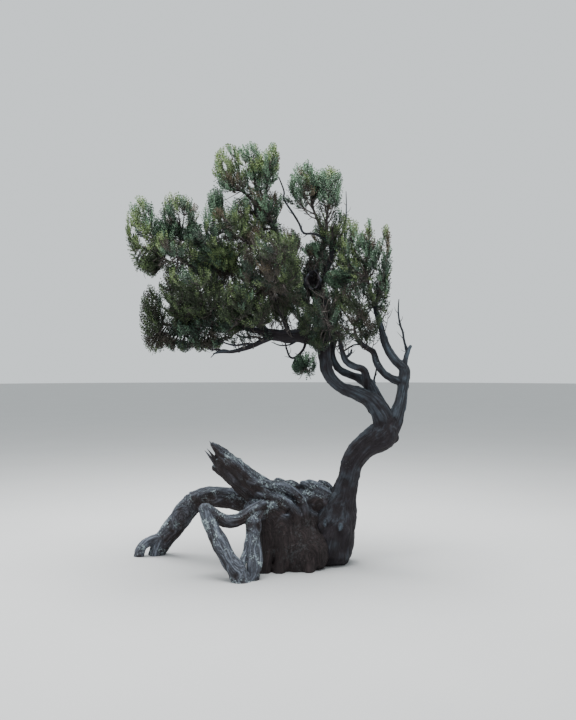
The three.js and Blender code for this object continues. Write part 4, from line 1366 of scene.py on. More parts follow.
@dataclass
class StumpAndRoots(WoodenPart):
    """The swollen stump, the splintered dead log and the limbs that arch to the ground."""

    slot = "weathered_wood"
    nodes = ("stump", "dead_log", "arched_span", "arched_leg", "loop_arm", "loop_leg", "prop_limb")
    strands: int = 9
    strand_spread: float = 0.66
    strand_girth: float = 0.4
    strand_twist: float = 0.7
    strand_ends: tuple[float, float] = (20, 60)
    body_voxel: float = 0.013
    body_smooth: int = 4
    voxel: float = 0.0076
    smooth: int = 2
    # how deep the splinters' wood counts as lying: an even, light painted shade
    splinter_crevice_shade: float = 0.1
    # how much paler the splinters' tops and darker their undersides are: partly weathering, partly painted
    # light and shade
    splinter_wear_and_light: float = 0.3
    log_core: float = 0.86
    relief: Relief = field(
        default_factory=lambda: Relief(
            flute=0.03, ridge=0.0066, ridge_width=0.022, ridge_length=0.24, burr=0.004, crag=0.003,
            crag_size=0.06, top_wear_and_light=0.85, swirl=0.09,
            # painted shade on the stump's low front
            shade_ball=Lump((-260, -300, 150), (330, 330, 300)),
        )
    )

    def log_strands(self) -> list[Limb]:
        """Works out the ridged strands of the log, each ending in a splinter."""
        dice = Dice(5)
        found = []
        for i in range(self.strands):
            shares = np.linspace(0.02, dice.between(0.9, 1.0), 7)
            middles, along = DEAD_LOG.points(shares) / MM, DEAD_LOG.tangents(shares)
            side = unit(np.cross(UP, along))
            rise = np.cross(along, side)
            angle = 2 * math.pi * i / self.strands + self.strand_twist * shares + dice.between(-0.15, 0.15)
            out = DEAD_LOG.radii(shares) / MM * self.strand_spread * dice.between(0.92, 1.08)
            ring = side * np.cos(angle)[:, None] + rise * np.sin(angle)[:, None]
            places = middles + ring * out[:, None]
            girth = DEAD_LOG.radii(shares) / MM * self.strand_girth * dice.between(0.85, 1.15)
            length = dice.between(*self.strand_ends) * (1 + 0.5 * math.sin(float(angle[-1])))
            tip = places[-1] + along[-1] * length - ring[-1] * length * 0.08
            half_way = places[-1] + along[-1] * length * 0.45
            route = [tuple(p) for p in (*places, half_way, tip)]
            found.append(Limb(tuple(route), (*girth, float(girth[-1]) * 0.62, 4.0), (0.15, 0.2, 0.3), 8))
        return found

    def build(self) -> Piece:
        """Models the stump and its dead limbs in one skin."""
        strands = self.log_strands()
        limbs = [*DEAD_LIMBS.values(), *EXTRA_STRANDS, *BROAD_SPLINTERS]
        swells = [swell_lump(lump) for lump in STUMP_LUMPS] + [extrude_limb(fold) for fold in FOLDS]
        heart = grown_together(swells, "stump_heart", self.body_voxel, self.body_smooth)
        parts = [heart, extrude_limb(DEAD_LOG, grow=self.log_core)]
        parts += [extrude_limb(limb) for limb in [*limbs, *strands]]
        piece = grown_together(parts, "stump_and_roots", self.voxel, self.smooth)
        sources = [*FOLDS, *limbs, *strands]
        for lump in STUMP_LUMPS[:2]:
            x, y, z = lump.centre
            reach = max(lump.half) * 0.55
            route = ((x, y, z - reach), (x, y, z), (x, y, z + reach))
            sources.append(Limb(route, (min(lump.half) * 0.8,) * 3, (0.15,)))
        self.relief.raise_wood(piece, GrainMap(sources))
        cut_at_ground(piece)
        return self.with_splinters(piece)

    def with_splinters(self, piece: Piece) -> Piece:
        """Joins the splinters, too fine for the skin, to the piece."""
        parts = [extrude_limb(limb) for limb in SHARP_SPLINTERS]
        for part in parts:
            places, normals = read_points(part)
            grain, wear, _ = GrainMap(list(SHARP_SPLINTERS)).read(places)
            # paler tops and darker undersides: partly weathering, partly painted light and painted shade
            wear = wear + normals[:, 2] * self.splinter_wear_and_light
            write_wood(part, grain, wear, np.full(len(places), self.splinter_crevice_shade))
        return joined([piece, *parts])


# Foliage.


@dataclass
class Shoots:
    """Needle shoots: slim upright plumes of folded needles round a thin axis."""

    stations: int = 4
    around: int = 3
    needle: float = 0.0226
    width: float = 0.0064
    usual: float = 0.08
    fold: float = 0.5
    leans: tuple[float, float] = (1.0, 0.35)

    def arrays(self, roots: Array, aims: Array, lengths: Array, rng: Draws) -> tuple[Array, Array, int]:
        """Works out the needles of many shoots.

        Args:
            roots: P by 3 places where the shoots leave their twig.
            aims: P by 3 unit directions.
            lengths: P lengths in metres.
            rng: the numbers to take.

        Returns:
            Places, triangles, and the number of triangles of one shoot.
        """
        count, total = len(roots), self.stations * self.around + 1
        across, other = square_to(aims)
        ranks = np.arange(self.stations)
        share = np.append(np.repeat(np.linspace(0.05, 0.9, self.stations), self.around), 0.9)
        spin = ranks[:, None] * 1.1 + np.arange(self.around) * 2 * np.pi / self.around
        spin = np.append(spin.ravel(), 0)
        lean = np.append(np.repeat(np.linspace(*self.leans, self.stations), self.around), 0.0)
        sizes = np.interp(ranks / (self.stations - 1), [0, 0.35, 1], [0.8, 1, 0.62])
        size = np.append(np.repeat(sizes, self.around), 0.8)
        turn = spin[None] + rng.uniform(0, 2 * np.pi, (count, 1)) + rng.uniform(-0.35, 0.35, (count, total))
        tilt = lean[None] * rng.uniform(0.75, 1.2, (count, total))
        ring = across[:, None] * np.cos(turn)[..., None] + other[:, None] * np.sin(turn)[..., None]
        way = unit(aims[:, None] * np.cos(tilt)[..., None] + ring * np.sin(tilt)[..., None])
        foot = roots[:, None] + aims[:, None] * (share * lengths[:, None])[..., None]
        long = self.needle * size[None] * rng.uniform(0.8, 1.2, (count, total))
        long = long * np.sqrt(lengths / self.usual)[:, None]
        flat = unit(np.cross(way, aims[:, None] + rng.normal(0, 0.7, (count, total, 3))))
        keel = np.cross(flat, way)
        half = self.width * 0.5 * rng.uniform(0.8, 1.2, (count, total))
        waist = foot + way * (long * 0.45)[..., None] - keel * (half * self.fold)[..., None]
        brim = flat * half[..., None]
        corners = np.stack([foot, waist + brim, foot + way * long[..., None], waist - brim], axis=2)
        first = np.arange(count * total) * 4
        faces = np.stack([first, first + 1, first + 2, first, first + 2, first + 3], axis=1).reshape(-1, 3)
        return corners.reshape(-1, 3), faces, total * 2

    def axes(self, roots: Array, aims: Array, lengths: Array) -> tuple[Array, Array]:
        """Works out the thin pointed axis of each shoot, three faces each."""
        across, other = square_to(aims)
        angles = np.arange(3) * 2 * np.pi / 3
        cos, sin = np.cos(angles)[None, :, None], np.sin(angles)[None, :, None]
        ring = across[:, None] * cos + other[:, None] * sin
        base = roots[:, None] - aims[:, None] * 0.002 + ring * 0.0014
        tips = roots + aims * (lengths * 0.95)[:, None]
        places = np.concatenate([base, tips[:, None]], axis=1).reshape(-1, 3)
        one = np.array([[0, 1, 3], [1, 2, 3], [2, 0, 3], [0, 2, 1]])
        return places, (one[None] + (np.arange(len(roots)) * 4)[:, None, None]).reshape(-1, 3)


@dataclass(frozen=True)
class Hue:
    """The share of warm tints, the share that is dying, and how many steps of painted light all take, painted
    shade where below 0.
    """

    warm: float
    bronze: float
    light: float


@dataclass(frozen=True)
class Tube:
    """A tapering tube along three-point curves: its rings, its radii at both ends, its sides."""

    rings: int
    thick: float
    thin: float
    sides: int

    def along(self, curves: Array) -> tuple[Array, Array]:
        """Returns the places and triangles of one tube for each curve."""
        paths = quadratic(curves, np.linspace(0, 1, self.rings))
        radii = np.broadcast_to(np.linspace(self.thick, self.thin, self.rings), paths.shape[:2])
        return tube_arrays(paths, radii, self.sides)


@dataclass
class Foliage:
    """What every leafy part shares: how twigs bear shoots, which tints they take, and the gaps."""

    shoots: Shoots = field(default_factory=Shoots)
    shoots_each: int = 9
    shoot_lengths: tuple[float, float] = (0.052, 0.091)
    # where the first shoot stands on its twig, and what the shoots aim by
    first: float = 0.4
    forward: float = 0.35
    sideways: tuple[float, float] = (0.62, 0.32)
    tip_sideways: float = 0.06
    leeward: float = -0.16
    unruly: float = 0.1
    # the sizes in metres of the patches of like tints, and how far single twigs stray from them
    usual_step: float = 1.2
    light_patch: float = 0.2
    light_scatter: float = 0.5
    cool_patch: float = 0.24
    cool_scatter: float = 0.13
    dying_patch: float = 0.17
    dying_scatter: float = 0.08
    # low shoots of a twig take a step of painted shade, a few others a darker step at random, and many high
    # ones a step of painted light
    low_rank: float = 0.45
    darker: float = 0.12
    high_rank: float = 0.7
    lighter: float = 0.55
    # the photograph's view, in its pixels
    focal: float = 860.0
    image_middle: tuple[float, float] = (288.0, 360.0)

    def in_gap(self, points: Array, grow: float = 1.0) -> Array:
        """Returns which points would hide the sky that the photograph shows between the masses."""
        return self.in_circles(points, SKY_GAPS, grow)

    def in_circles(self, points: Array, circles: tuple[Point, ...], grow: float = 1.0) -> Array:
        """Returns which points the photograph shows in circles, given by middle and radius on it."""
        depth = points[..., 1] - EYE[1]
        across = self.image_middle[0] + (points[..., 0] - EYE[0]) / depth * self.focal
        down = self.image_middle[1] - (points[..., 2] - EYE[2]) / depth * self.focal
        found = np.zeros(points.shape[:-1], bool)
        for x, y, radius in circles:
            found |= (across - x) ** 2 + (down - y) ** 2 < (radius * grow) ** 2
        return found

    def before_wood(self, points: Array) -> Array:
        """Returns which points would hide the wood that the photograph shows through the leaves."""
        return self.in_circles(points, BARE_VIEWS) & (points[..., 1] < BARE_VIEW_DEPTH * MM)

    def rows(self, lets: Array, outward: Array, rise: Array, rng: Draws) -> tuple[Array, ...]:
        """Places needle shoots along twigs, most of them near the tips and upright.

        Args:
            lets: three points for each twig.
            outward: for each twig, the way out of the mass.
            rise: for each twig, how strongly its shoots turn up.
            rng: the numbers to take.

        Returns:
            Roots, aims, lengths and the number of the twig of each shoot, and its rank on it.
        """
        each = self.shoots_each
        shares = np.linspace(self.first, 1.0, each)
        roots = quadratic(lets, shares)
        along = unit(np.gradient(roots, axis=1))
        spin = np.arange(each) * GOLDEN_TURN + rng.uniform(0, 6, (len(lets), 1))
        side = turned(unit(np.cross(along, unit(rng.normal(0, 1, (len(lets), 1, 3))))), along, spin)
        spread = np.append(np.linspace(*self.sideways, each - 1), self.tip_sideways)[None, :, None]
        aims = unit(
            along * self.forward
            + side * spread
            + outward[:, None] * (0.26 + 0.4 * np.clip(0.9 - rise, 0, 1))[:, None, None]
            + UP * rise[:, None, None]
            + np.array([self.leeward, 0, 0])
            + rng.normal(0, self.unruly, roots.shape)
        )
        lengths = rng.uniform(*self.shoot_lengths, roots.shape[:2])
        number = np.repeat(np.arange(len(lets)), each)
        rank = np.tile(np.linspace(0, 1, each), len(lets))
        return roots.reshape(-1, 3), aims.reshape(-1, 3), lengths.ravel(), number, rank

    def tints(self, tips: Array, heights: Array, hue: Hue, rng: Draws) -> Array:
        """Deals a tint to each twig: painted light on top, painted shade below, in cool, warm and dying
        patches.

        Args:
            tips: the twigs' tips.
            heights: how high each stands in its mass, from -1 to 1, which sets its painted light and shade.
            hue: which tints they take.
            rng: the numbers to take.

        Returns:
            The number of a LeafTint for each twig.
        """
        patch = noise3(tips / self.light_patch, Noise.LIGHTER_PATCHES)
        # painted light: higher twigs, and those far to the left, take lighter steps
        lift = (tips[:, 2] - 2.6) * 1.0 + np.clip(-tips[:, 0] - 1.1, 0, 0.6) * 0.6
        scatter = rng.normal(0, self.light_scatter, len(tips))
        level = self.usual_step + hue.light + heights * 0.7 + lift + patch * 0.8 + scatter
        level = np.clip(np.round(level), 0, STEPS - 1)
        cool = noise3(tips / self.cool_patch + 9, Noise.COOL_PATCHES) * 0.8 + 0.5
        cool = cool + rng.normal(0, self.cool_scatter, len(tips))
        tint = np.where(cool < hue.warm, STEPS, 0) + level
        dying = noise3(tips / self.dying_patch + 40, Noise.DYING_PATCHES) * 0.8 + 0.5
        dying = dying + rng.normal(0, self.dying_scatter, len(tips))
        # dying twigs on the darker steps take the bronze in painted shade
        bronze = 2 * STEPS + (level <= 1)
        return np.where((hue.bronze > 0) & (dying < hue.bronze * 2.2), bronze, tint).astype(int)

    def shade(self, tint: Array, rank: Array, rng: Draws) -> Array:
        """Returns each shoot's tint: its twig's, painted shade on low shoots, a step darker now and then,
        painted light on many high ones.
        """
        step = np.where((rank < self.low_rank) | (rng.random(len(tint)) < self.darker), -1, 0)
        step = np.where((rank > self.high_rank) & (rng.random(len(tint)) < self.lighter), 1, step)
        level = np.clip(tint % STEPS + step, 0, STEPS - 1)
        return np.where(tint < 2 * STEPS, tint // STEPS * STEPS + level, tint)

    def kept_in(self, roots: Array, aims: Array, lengths: Array) -> tuple[Array, Array]:
        """Returns the shoots' lengths, and which of them leave the sky in the gaps free."""
        tips = roots + aims * lengths[:, None]
        return lengths, ~self.in_gap(roots) & ~self.in_gap(tips)

    def leafed(
        self, name: str, lets: Array, outward: Array, rise: Array, heights: Array, hue: Hue, rng: Draws
    ) -> tuple[Piece, tuple[Array, Array]]:
        """Grows the needle shoots of many twigs.

        Args:
            name: the name of the leaves.
            lets: three points for each twig.
            outward: for each twig, the way out of the mass.
            rise: for each twig, how strongly its shoots turn up.
            heights: for each twig, how high it stands, from -1 to 1, which gives it painted light.
            hue: which tints they take.
            rng: the numbers to take.

        Returns:
            The leaves, and the places and triangles of the shoots' axes.
        """
        roots, aims, lengths, number, rank = self.rows(lets, outward, rise, rng)
        lengths, kept = self.kept_in(roots, aims, lengths)
        roots, aims, lengths, number, rank = (v[kept] for v in (roots, aims, lengths, number, rank))
        places, faces, each = self.shoots.arrays(roots, aims, lengths, rng)
        tint = self.tints(lets[:, 2], heights, hue, rng)[number]
        leaves = mesh_from(name, places, faces, np.repeat(self.shade(tint, rank, rng), each))
        return leaves, self.shoots.axes(roots, aims, lengths)

    def dress(
        self, twigs: Piece, leaves: Piece, bark: Material, tints: list[Material], nodes: list[str]
    ) -> None:
        """Gives twigs and leaves their finishes and their place in the model.

        Args:
            twigs: the twigs.
            leaves: the leaves.
            bark: the twigs' material.
            tints: the leaves' materials.
            nodes: the solids that they take the place of.
        """
        twigs.data.materials.append(bark)
        twigs.data.shade_smooth()
        for tint in tints:
            leaves.data.materials.append(tint)
        for piece in (twigs, leaves):
            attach(piece, BODY)
            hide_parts(*nodes)


@dataclass
class Crown(Foliage):
    """The foliage masses: the source's twigs, carried on to branchlets and needle shoots."""

    density: float = 122.0
    usual: float = 0.27
    behind: float = 0.8
    fill_density: float = 1.8
    limit: float = 0.99
    heart: float = 0.3
    forks: tuple[float, float] = (0.3, 0.85)
    reach: float = 0.8
    droop: float = 0.45
    sag: float = 0.24
    tries: tuple[float, ...] = (1, 0.85, 0.7, 0.5)
    edge: float = 1.1
    softness: float = 6.0
    shortest: float = 0.034
    # how far down the branchlets go, how far out they end, and how deep the lobes between them are
    wrap: float = 1.88
    outer: tuple[float, float] = (0.73, 0.87)
    inner: tuple[float, float] = (0.35, 0.66)
    lobe: tuple[float, float] = (0.16, 0.19)
    fine_lobe: tuple[float, float] = (0.07, 0.07)
    fringe_heights: tuple[float, float] = (-0.97, -0.62)
    fringe_reach: tuple[float, float] = (0.8, 1.04)
    stem_tube: Tube = Tube(8, 0.016, 0.007, 8)
    twig_tube: Tube = Tube(8, 0.0078, 0.0025, 6)
    branchlet_tube: Tube = Tube(5, 0.0038, 0.0014, 4)

    def stem(self, mass: Mass) -> Array:
        """Returns the three points of a mass's stem, as in the part's source."""
        bough = LIMBS[mass.bough]
        share = np.array([mass.at])
        root = bough.points(share)[0]
        centre = np.array(mass.centre) * MM
        heart = centre + (root - centre) * self.heart
        bend = (root + heart) / 2 + bough.tangents(share)[0] * 25 * MM
        return np.array([root, bend, heart])

    def owns(self, mass: Mass, points: Array, slack: float = 0.0) -> Array:
        """Returns which points lie no nearer to another mass's middle."""
        own = mass.away(points)
        kept = np.ones(own.shape, bool)
        for other in MASSES.values():
            if other is not mass:
                kept &= other.away(points) > own - slack
        return kept

    def depth(self, points: Array) -> Array:
        """Returns how far out points lie, 1 being the crown's edge, where masses run together."""
        near = sum(np.exp(-self.softness * (mass.away(points) - 1)) for mass in MASSES.values())
        near = near + sum(np.exp(-self.softness * (fill.away(points) - 1)) for fill in FILLS)
        return 1 - np.log(np.maximum(near, 1e-12)) / self.softness

    def twig_paths(self, mass: Mass, stem: Array) -> Array:
        """Works out the twigs of a mass by the source's rule.

        Args:
            mass: the mass.
            stem: its stem's three points.

        Returns:
            Three points for each twig.
        """
        found = []
        for i in range(mass.twigs):
            dice = Dice(mass.seed * 101 + i)
            height = 1 - ((i + 0.5) / mass.twigs) * (1 + self.droop)
            turn = i * GOLDEN_TURN + dice.between(-0.3, 0.3)
            level = math.sqrt(1 - height * height)
            aim = np.array([level * math.cos(turn), level * math.sin(turn), height])
            tip = mass.place(aim * self.reach * dice.between(0.9, 1.05))
            share = self.forks[0] + (self.forks[1] - self.forks[0]) * (1 - i / mass.twigs)
            fork = quadratic(stem[None], np.array([share]))[0, 0]
            for size in self.tries:
                end = fork + (tip - fork) * size
                bend = fork + (end - fork) * 0.55 - UP * np.linalg.norm(end - fork) * self.sag
                path = np.array([fork, bend, end])
                tests = quadratic(path[None], np.array([0.15, 0.3, 0.5, 0.7, 0.85, 1]))[0]
                if self.owns(mass, tests).all() and (mass.away(tests) <= self.edge).all():
                    found.append(path)
                    break
        return np.array(found)

    def branchlets(self, mass: Mass, stem: Array, twigs: Array, rng: Draws) -> tuple[Array, Array]:
        """Carries the rule on: finer twigs that fill the space, most of them under its outside.

        Args:
            mass: the mass.
            stem: its stem.
            twigs: its twigs.
            rng: the numbers to take.

        Returns:
            Three points for each branchlet, and how high it aims, from -1 to 1.
        """
        half = np.array(mass.half) * MM
        thinner = self.behind if mass.centre[1] > 300 else 1.0
        count = int(self.density * thinner * (half.prod() / self.usual**3) ** (2 / 3)) + 8
        i = np.arange(count)
        height = 1 - (i + 0.5) / count * self.wrap
        turn = i * GOLDEN_TURN + rng.uniform(-0.25, 0.25, count)
        aims = on_ball(turn, height)
        edge = mass.place(aims)
        lobes = noise3(edge / self.lobe[0], Noise.LOBES) * self.lobe[1]
        lobes = lobes + noise3(edge / self.fine_lobe[0], Noise.FINER_LOBES) * self.fine_lobe[1]
        outer = np.clip(rng.uniform(*self.outer, count) + lobes, 0.5, 0.95)
        wanted = np.where(i % 4 == 3, rng.uniform(*self.inner, count), outer)
        steps = np.linspace(0.3, 1.4, 23)
        line = mass.place(aims[:, None] * steps[None, :, None])
        inside = (self.depth(line) < wanted[:, None]).cumprod(axis=1).sum(1)
        out = steps[0] + (inside - rng.uniform(0, 1, count)) * (steps[1] - steps[0])
        tips = mass.place(aims * out[:, None]) - UP * 0.02
        kept = self.owns(mass, tips, slack=0.08) & ~self.in_gap(tips, 1.2)
        tips, height = self.filled_out(mass, tips[kept], height[kept], rng)
        hosts = np.concatenate([stem[None], twigs]) if len(twigs) else stem[None]
        nodes = quadratic(hosts, np.linspace(0.1, 0.95, 9))
        tangents = unit(np.gradient(nodes, axis=1)).reshape(-1, 3)
        nodes = nodes.reshape(-1, 3)
        gap = tips[:, None] - nodes[None]
        distance = np.linalg.norm(gap, axis=2)
        forward = (gap * tangents[None]).sum(2) / np.maximum(distance, 1e-6)
        rise = gap[..., 2] / np.maximum(distance, 1e-6)
        cost = distance * (1 + 0.5 * (1 - forward) + 0.7 * (1 - rise)) + np.where(distance < 0.06, 0.1, 0)
        best = cost.argmin(1)
        roots, along = nodes[best], tangents[best]
        far = distance[np.arange(len(tips)), best][:, None]
        bend = roots + along * far * 0.2 + (tips - roots) * 0.55 - UP * far * self.sag
        return np.stack([roots, bend, tips], axis=1), height

    def filled_out(self, mass: Mass, tips: Array, height: Array, rng: Draws) -> tuple[Array, Array]:
        """Adds the tips of a mass's trailing fringe and of the crevices that it fills.

        Args:
            mass: the mass.
            tips: the tips so far.
            height: how high each aims, from -1 to 1.
            rng: the numbers to take.

        Returns:
            All tips and their heights.
        """
        low = rng.uniform(*self.fringe_heights, mass.fringe)
        turn = rng.uniform(0, 2 * np.pi, mass.fringe)
        trailing = on_ball(turn, low)
        tips = [tips, mass.place(trailing * rng.uniform(*self.fringe_reach, (mass.fringe, 1)))]
        height = [height, np.where(rng.random(mass.fringe) < 0.6, 0.0, -1.0)]
        for fill in FILLS:
            if MASSES[fill.mass] is mass:
                count = int(self.density * (fill.radius / 270) ** 2 * self.fill_density) + 6
                spots = unit(rng.normal(0, 1, (count, 3))) * rng.uniform(0, 1, (count, 1)) ** 0.4
                tips.append((np.array(fill.centre) + spots * fill.radius * 0.75) * MM)
                height.append(np.full(count, 0.1))
        return np.concatenate(tips), np.concatenate(height)

    def kept_in(self, roots: Array, aims: Array, lengths: Array) -> tuple[Array, Array]:
        """Shortens shoots that would leave the crown, and drops those in a gap or before bare wood."""
        inner = self.depth(roots)
        outer = self.depth(roots + aims * lengths[:, None])
        share = np.clip((self.limit - inner) / np.maximum(outer - inner, 1e-6), 0, 1)
        lengths = np.where(outer > self.limit, lengths * share, lengths)
        lengths, kept = super().kept_in(roots, aims, lengths)
        shown = ~self.before_wood(roots + aims * lengths[:, None])
        return lengths, kept & (lengths > self.shortest) & shown

    def build(self, name: str) -> tuple[Piece, Piece]:
        """Grows one mass.

        Args:
            name: the mass's name.

        Returns:
            Its twigs and its leaves.
        """
        mass = MASSES[name]
        rng = np.random.default_rng(mass.seed)
        stem = self.stem(mass)
        twigs = self.twig_paths(mass, stem)
        lets, heights = self.branchlets(mass, stem, twigs, rng)
        leafy = heights > mass.bare
        outward = unit((lets[leafy, 2] - np.array(mass.centre) * MM) * np.array([1, 1, 0.6]))
        rise = np.interp(heights[leafy], [-0.9, -0.3, 0.6], [0.12, 0.85, 1.1])
        # higher twigs take painted light, and twigs deep inside the crown painted shade
        height = heights[leafy] + (self.depth(lets[leafy, 2]) - 0.75) * 1.8
        hue = Hue(mass.warm, mass.bronze, mass.light)
        leaves, axes = self.leafed(name + "_leaves", lets[leafy], outward, rise, height, hue, rng)
        parts = [self.stem_tube.along(stem[None]), self.branchlet_tube.along(lets), axes]
        if len(twigs):
            parts.append(self.twig_tube.along(twigs))
        return mesh_from(name + "_twigs", *stacked(parts)), leaves


@dataclass(frozen=True)
class ShootRow:
    """A row of young shoots on a bough: where, how many, how long in metres, and how leafy."""

    host: str
    first: float
    last: float
    count: int
    low: float
    high: float
    leafy: float


SHOOT_ROWS = tuple(ShootRow(*row) for row in (
    ("level_bough", 0.15, 0.98, 38, 0.1, 0.3, 0.75),
    ("crown_stem", 0.05, 0.95, 24, 0.14, 0.3, 0.7),
    ("left_lower_bough", 0.03, 0.7, 28, 0.12, 0.28, 0.7),
    ("left_upper_bough", 0.03, 0.75, 20, 0.12, 0.28, 0.65),
    ("front_bough", 0.1, 0.9, 14, 0.12, 0.24, 0.75),
    ("top_bough", 0.05, 0.95, 28, 0.12, 0.28, 0.65),
    ("upper_right_bough", 0.1, 0.95, 20, 0.12, 0.26, 0.65),
    ("back_bough", 0.1, 0.9, 8, 0.14, 0.24, 0.6),
    ("back_left_bough", 0.1, 0.9, 10, 0.14, 0.24, 0.6),
    ("right_upper_limb", 0.5, 0.97, 10, 0.12, 0.26, 0.5),
    ("second_limb", 0.6, 0.97, 8, 0.12, 0.24, 0.6),
    ("third_limb", 0.66, 0.97, 9, 0.1, 0.2, 0.8),
    ("fourth_limb", 0.66, 0.97, 9, 0.1, 0.2, 0.8),
    ("sweeping_bough", 0.05, 0.6, 16, 0.05, 0.13, 0.3),
))


@dataclass
class YoungShoots(Foliage):
    """The young shoots that stand on the boughs inside the crown, some bare and some leafy."""

    shoots_each: int = 4
    first: float = 0.65
    rise: float = 0.8
    # this height and the hue's light below 0 give the young shoots steps of painted shade
    height: float = -0.5
    forks: tuple[float, ...] = (0.4, 0.6, 0.8)
    side_sizes: tuple[float, float] = (0.35, 0.55)
    twig_tube: Tube = Tube(5, 0.0042, 0.0013, 4)
    hue: Hue = Hue(0.4, 0.08, -0.3)
    seed: int = 77

    def build(self) -> tuple[Piece, Piece]:
        """Grows all the rows, and returns their twigs and leaves."""
        rng = np.random.default_rng(self.seed)
        paths, leafy, thick = [], [], []
        for row in SHOOT_ROWS:
            host = LIMBS[row.host]
            for i in range(row.count):
                share = np.array([row.first + (row.last - row.first) * (i + rng.uniform(0, 0.8)) / row.count])
                root, along = host.points(share)[0], host.tangents(share)[0]
                side = unit(np.cross(along, [0.2, 1.0, 0.3]))
                side = turned(side, along, np.array(i * GOLDEN_TURN))
                length = rng.uniform(row.low, row.high)
                aim = unit(side * 0.75 + along * 0.35 + UP * 0.35)
                bend = root + aim * length * 0.5
                tip = bend + unit(aim * 0.5 + UP * 0.8 + rng.normal(0, 0.2, 3)) * length * 0.55
                paths.append(np.array([root, bend, tip]))
                leafy.append(rng.random() < row.leafy)
                thick.append(length)
        main = np.array(paths)
        twigs, marks = [main], [np.array(leafy)]
        for k, fork in enumerate(self.forks):
            root = quadratic(main, np.array([fork]))[:, 0]
            along = unit(main[:, 2] - main[:, 1])
            side = unit(np.cross(along, unit(rng.normal(0, 1, along.shape))))
            side = turned(side, along, np.full(len(main), k * GOLDEN_TURN))
            size = (np.array(thick) * rng.uniform(*self.side_sizes, len(main)))[:, None]
            bend = root + unit(along * 0.5 + side) * size * 0.5
            twigs.append(np.stack([root, bend, bend + unit(side * 0.4 + UP * 0.9) * size * 0.55], axis=1))
            marks.append(np.array(leafy))
        lets, leafy_marks = np.concatenate(twigs), np.concatenate(marks)
        kept = ~self.in_gap(lets[:, 2], 1.2)
        lets, leafy_marks = lets[kept], leafy_marks[kept]
        leaf_lets = lets[leafy_marks]
        outward = unit(leaf_lets[:, 2] - leaf_lets[:, 0])
        rise, height = np.full(len(leaf_lets), self.rise), np.full(len(leaf_lets), self.height)
        leaves, axes = self.leafed("young_leaves", leaf_lets, outward, rise, height, self.hue, rng)
        return mesh_from("young_twigs", *stacked([self.twig_tube.along(lets), axes])), leaves


# Stage.


@dataclass(frozen=True)
class Panel:
    """A soft square light: its place, the point that it faces, its side and its power in watts."""

    name: str
    place: Point
    aim: Point
    size: float
    power: float

    def build(self) -> None:
        """Makes the light."""
        data = bpy.data.lights.new(self.name, "AREA")
        data.size = self.size
        data.energy = self.power
        lamp = bpy.data.objects.new(self.name, data)
        lamp.location = self.place
        facing = Vector(self.aim) - Vector(self.place)
        lamp.rotation_euler = facing.to_track_quat("-Z", "Y").to_euler()
        bpy.context.scene.collection.objects.link(lamp)


@dataclass
class Studio:
    """A pale floor, soft light from above and the photograph's point of view."""

    lens: float = 43.0
    sensor: float = 36.0
    floor_radius: float = 60.0
    floor_tones: tuple[Colour, Colour] = ((0.46, 0.465, 0.465, 1), (0.50, 0.505, 0.505, 1))
    floor_roughness: float = 0.9
    air: Colour = (0.78, 0.83, 0.85, 1)
    air_strength: float = 1.18
    panels: tuple[Panel, ...] = (
        Panel("sky_panel", (-0.9, 0.4, 7.2), (-0.5, 0.0, 1.8), 5.0, 1500),
        Panel("fill_panel", (-5.0, -6.0, 4.2), (-0.5, 0.0, 1.6), 4.5, 90),
    )

    def build(self) -> None:
        """Makes the floor, the lights, the world and the camera."""
        self.floor()
        for panel in self.panels:
            panel.build()
        world = bpy.data.worlds.new("pale_room")
        bpy.context.scene.world = world
        world.use_nodes = True
        back = world.node_tree.nodes["Background"]
        back.inputs["Color"].default_value = self.air
        back.inputs["Strength"].default_value = self.air_strength
        data = bpy.data.cameras.new("photo_view")
        data.lens = self.lens
        data.sensor_width = self.sensor
        camera = bpy.data.objects.new("photo_view", data)
        camera.location = EYE
        camera.rotation_euler = Euler((math.pi / 2, 0, 0))
        bpy.context.scene.collection.objects.link(camera)
        bpy.context.scene.camera = camera

    def floor(self) -> None:
        """Makes the plain pale floor."""
        bpy.ops.object.select_all(action="DESELECT")
        below = (0, 0, -0.0005)
        bpy.ops.mesh.primitive_circle_add(
            vertices=96, radius=self.floor_radius, fill_type="NGON", location=below
        )
        floor = bpy.context.object
        floor.name = "floor"
        apply_place()
        coat = Coat("pale_floor")
        cloud = coat.noise(coat.place(), Scale=0.8, Detail=3.0)
        floor.data.materials.append(coat.shine(coat.blend(cloud, *self.floor_tones), self.floor_roughness))


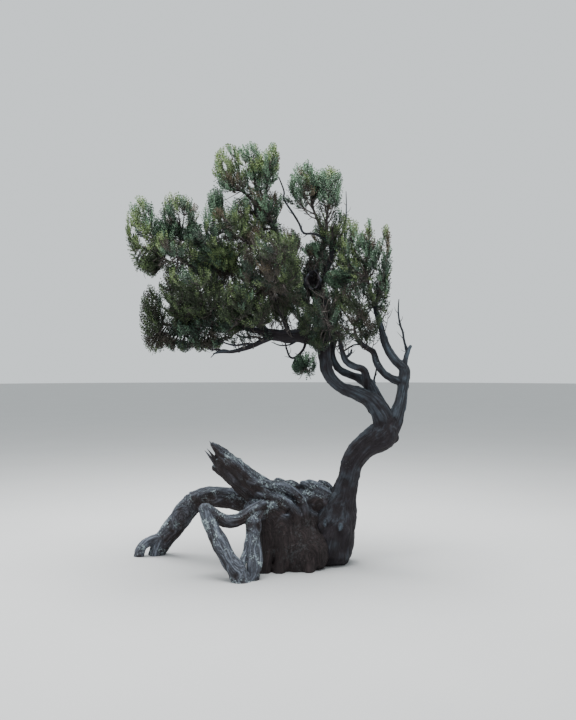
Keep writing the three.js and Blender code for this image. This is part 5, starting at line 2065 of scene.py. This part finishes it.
BARK = WoodFinish(
    "furrowed_bark",
    fresh_dark=(0.0070, 0.0044, 0.0056, 1),
    fresh_light=(0.029, 0.024, 0.031, 1),
    worn_dark=(0.022, 0.027, 0.035, 1),
    worn_light=(0.096, 0.124, 0.153, 1),
    lichen=(0.22, 0.27, 0.28, 1),
    lichen_amount=0.25,
)
DEAD = WoodFinish(
    "silvered_wood",
    fresh_dark=(0.0085, 0.0054, 0.0056, 1),
    fresh_light=(0.050, 0.035, 0.036, 1),
    worn_dark=(0.047, 0.051, 0.068, 1),
    worn_light=(0.220, 0.252, 0.310, 1),
    lichen=(0.34, 0.42, 0.44, 1),
    lichen_amount=0.56,
    mottle=0.6,
    fineness=110.0,
    length=0.06,
    crack_width=0.14,
    relief=0.007,
    fleck_scale=62.0,
)


def triangles(piece: Piece) -> int:
    """Reports how many triangles a piece has, and returns their number."""
    count = sum(len(face.vertices) - 2 for face in piece.data.polygons)
    log.info("%s: %d triangles", piece.name, count)
    return count


def main() -> None:
    """Builds the pieces in order and reports each."""
    logging.basicConfig(level=logging.INFO, format="%(message)s")
    Studio().build()
    grain, flecks = long_grain_group(), pale_flecks_group()
    bark, dead = BARK.build(grain, flecks), DEAD.build(grain, flecks)
    total = 0
    for maker, material in (
        (StumpAndRoots(), dead),
        (TrunkAndLimbs(), bark),
        (CrownBoughs(), bark),
        (BareTwigs(), bark),
    ):
        piece = maker.build()
        maker.dress(piece, material)
        total += triangles(piece)
    crown, young = Crown(), YoungShoots()
    twig_bark = TwigFinish().build()
    tints = [LeafFinish().build(tint) for tint in LeafTint]
    for name in MASSES:
        twigs, leaves = crown.build(name)
        crown.dress(twigs, leaves, twig_bark, tints, [name])
        total += triangles(twigs) + triangles(leaves)
    twigs, leaves = young.build()
    young.dress(twigs, leaves, twig_bark, tints, ["crown_stem", "level_bough", *CROWN_BOUGHS])
    total += triangles(twigs) + triangles(leaves)
    log.info("whole tree: %d triangles", total)
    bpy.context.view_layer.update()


if __name__ == "__main__":
    main()
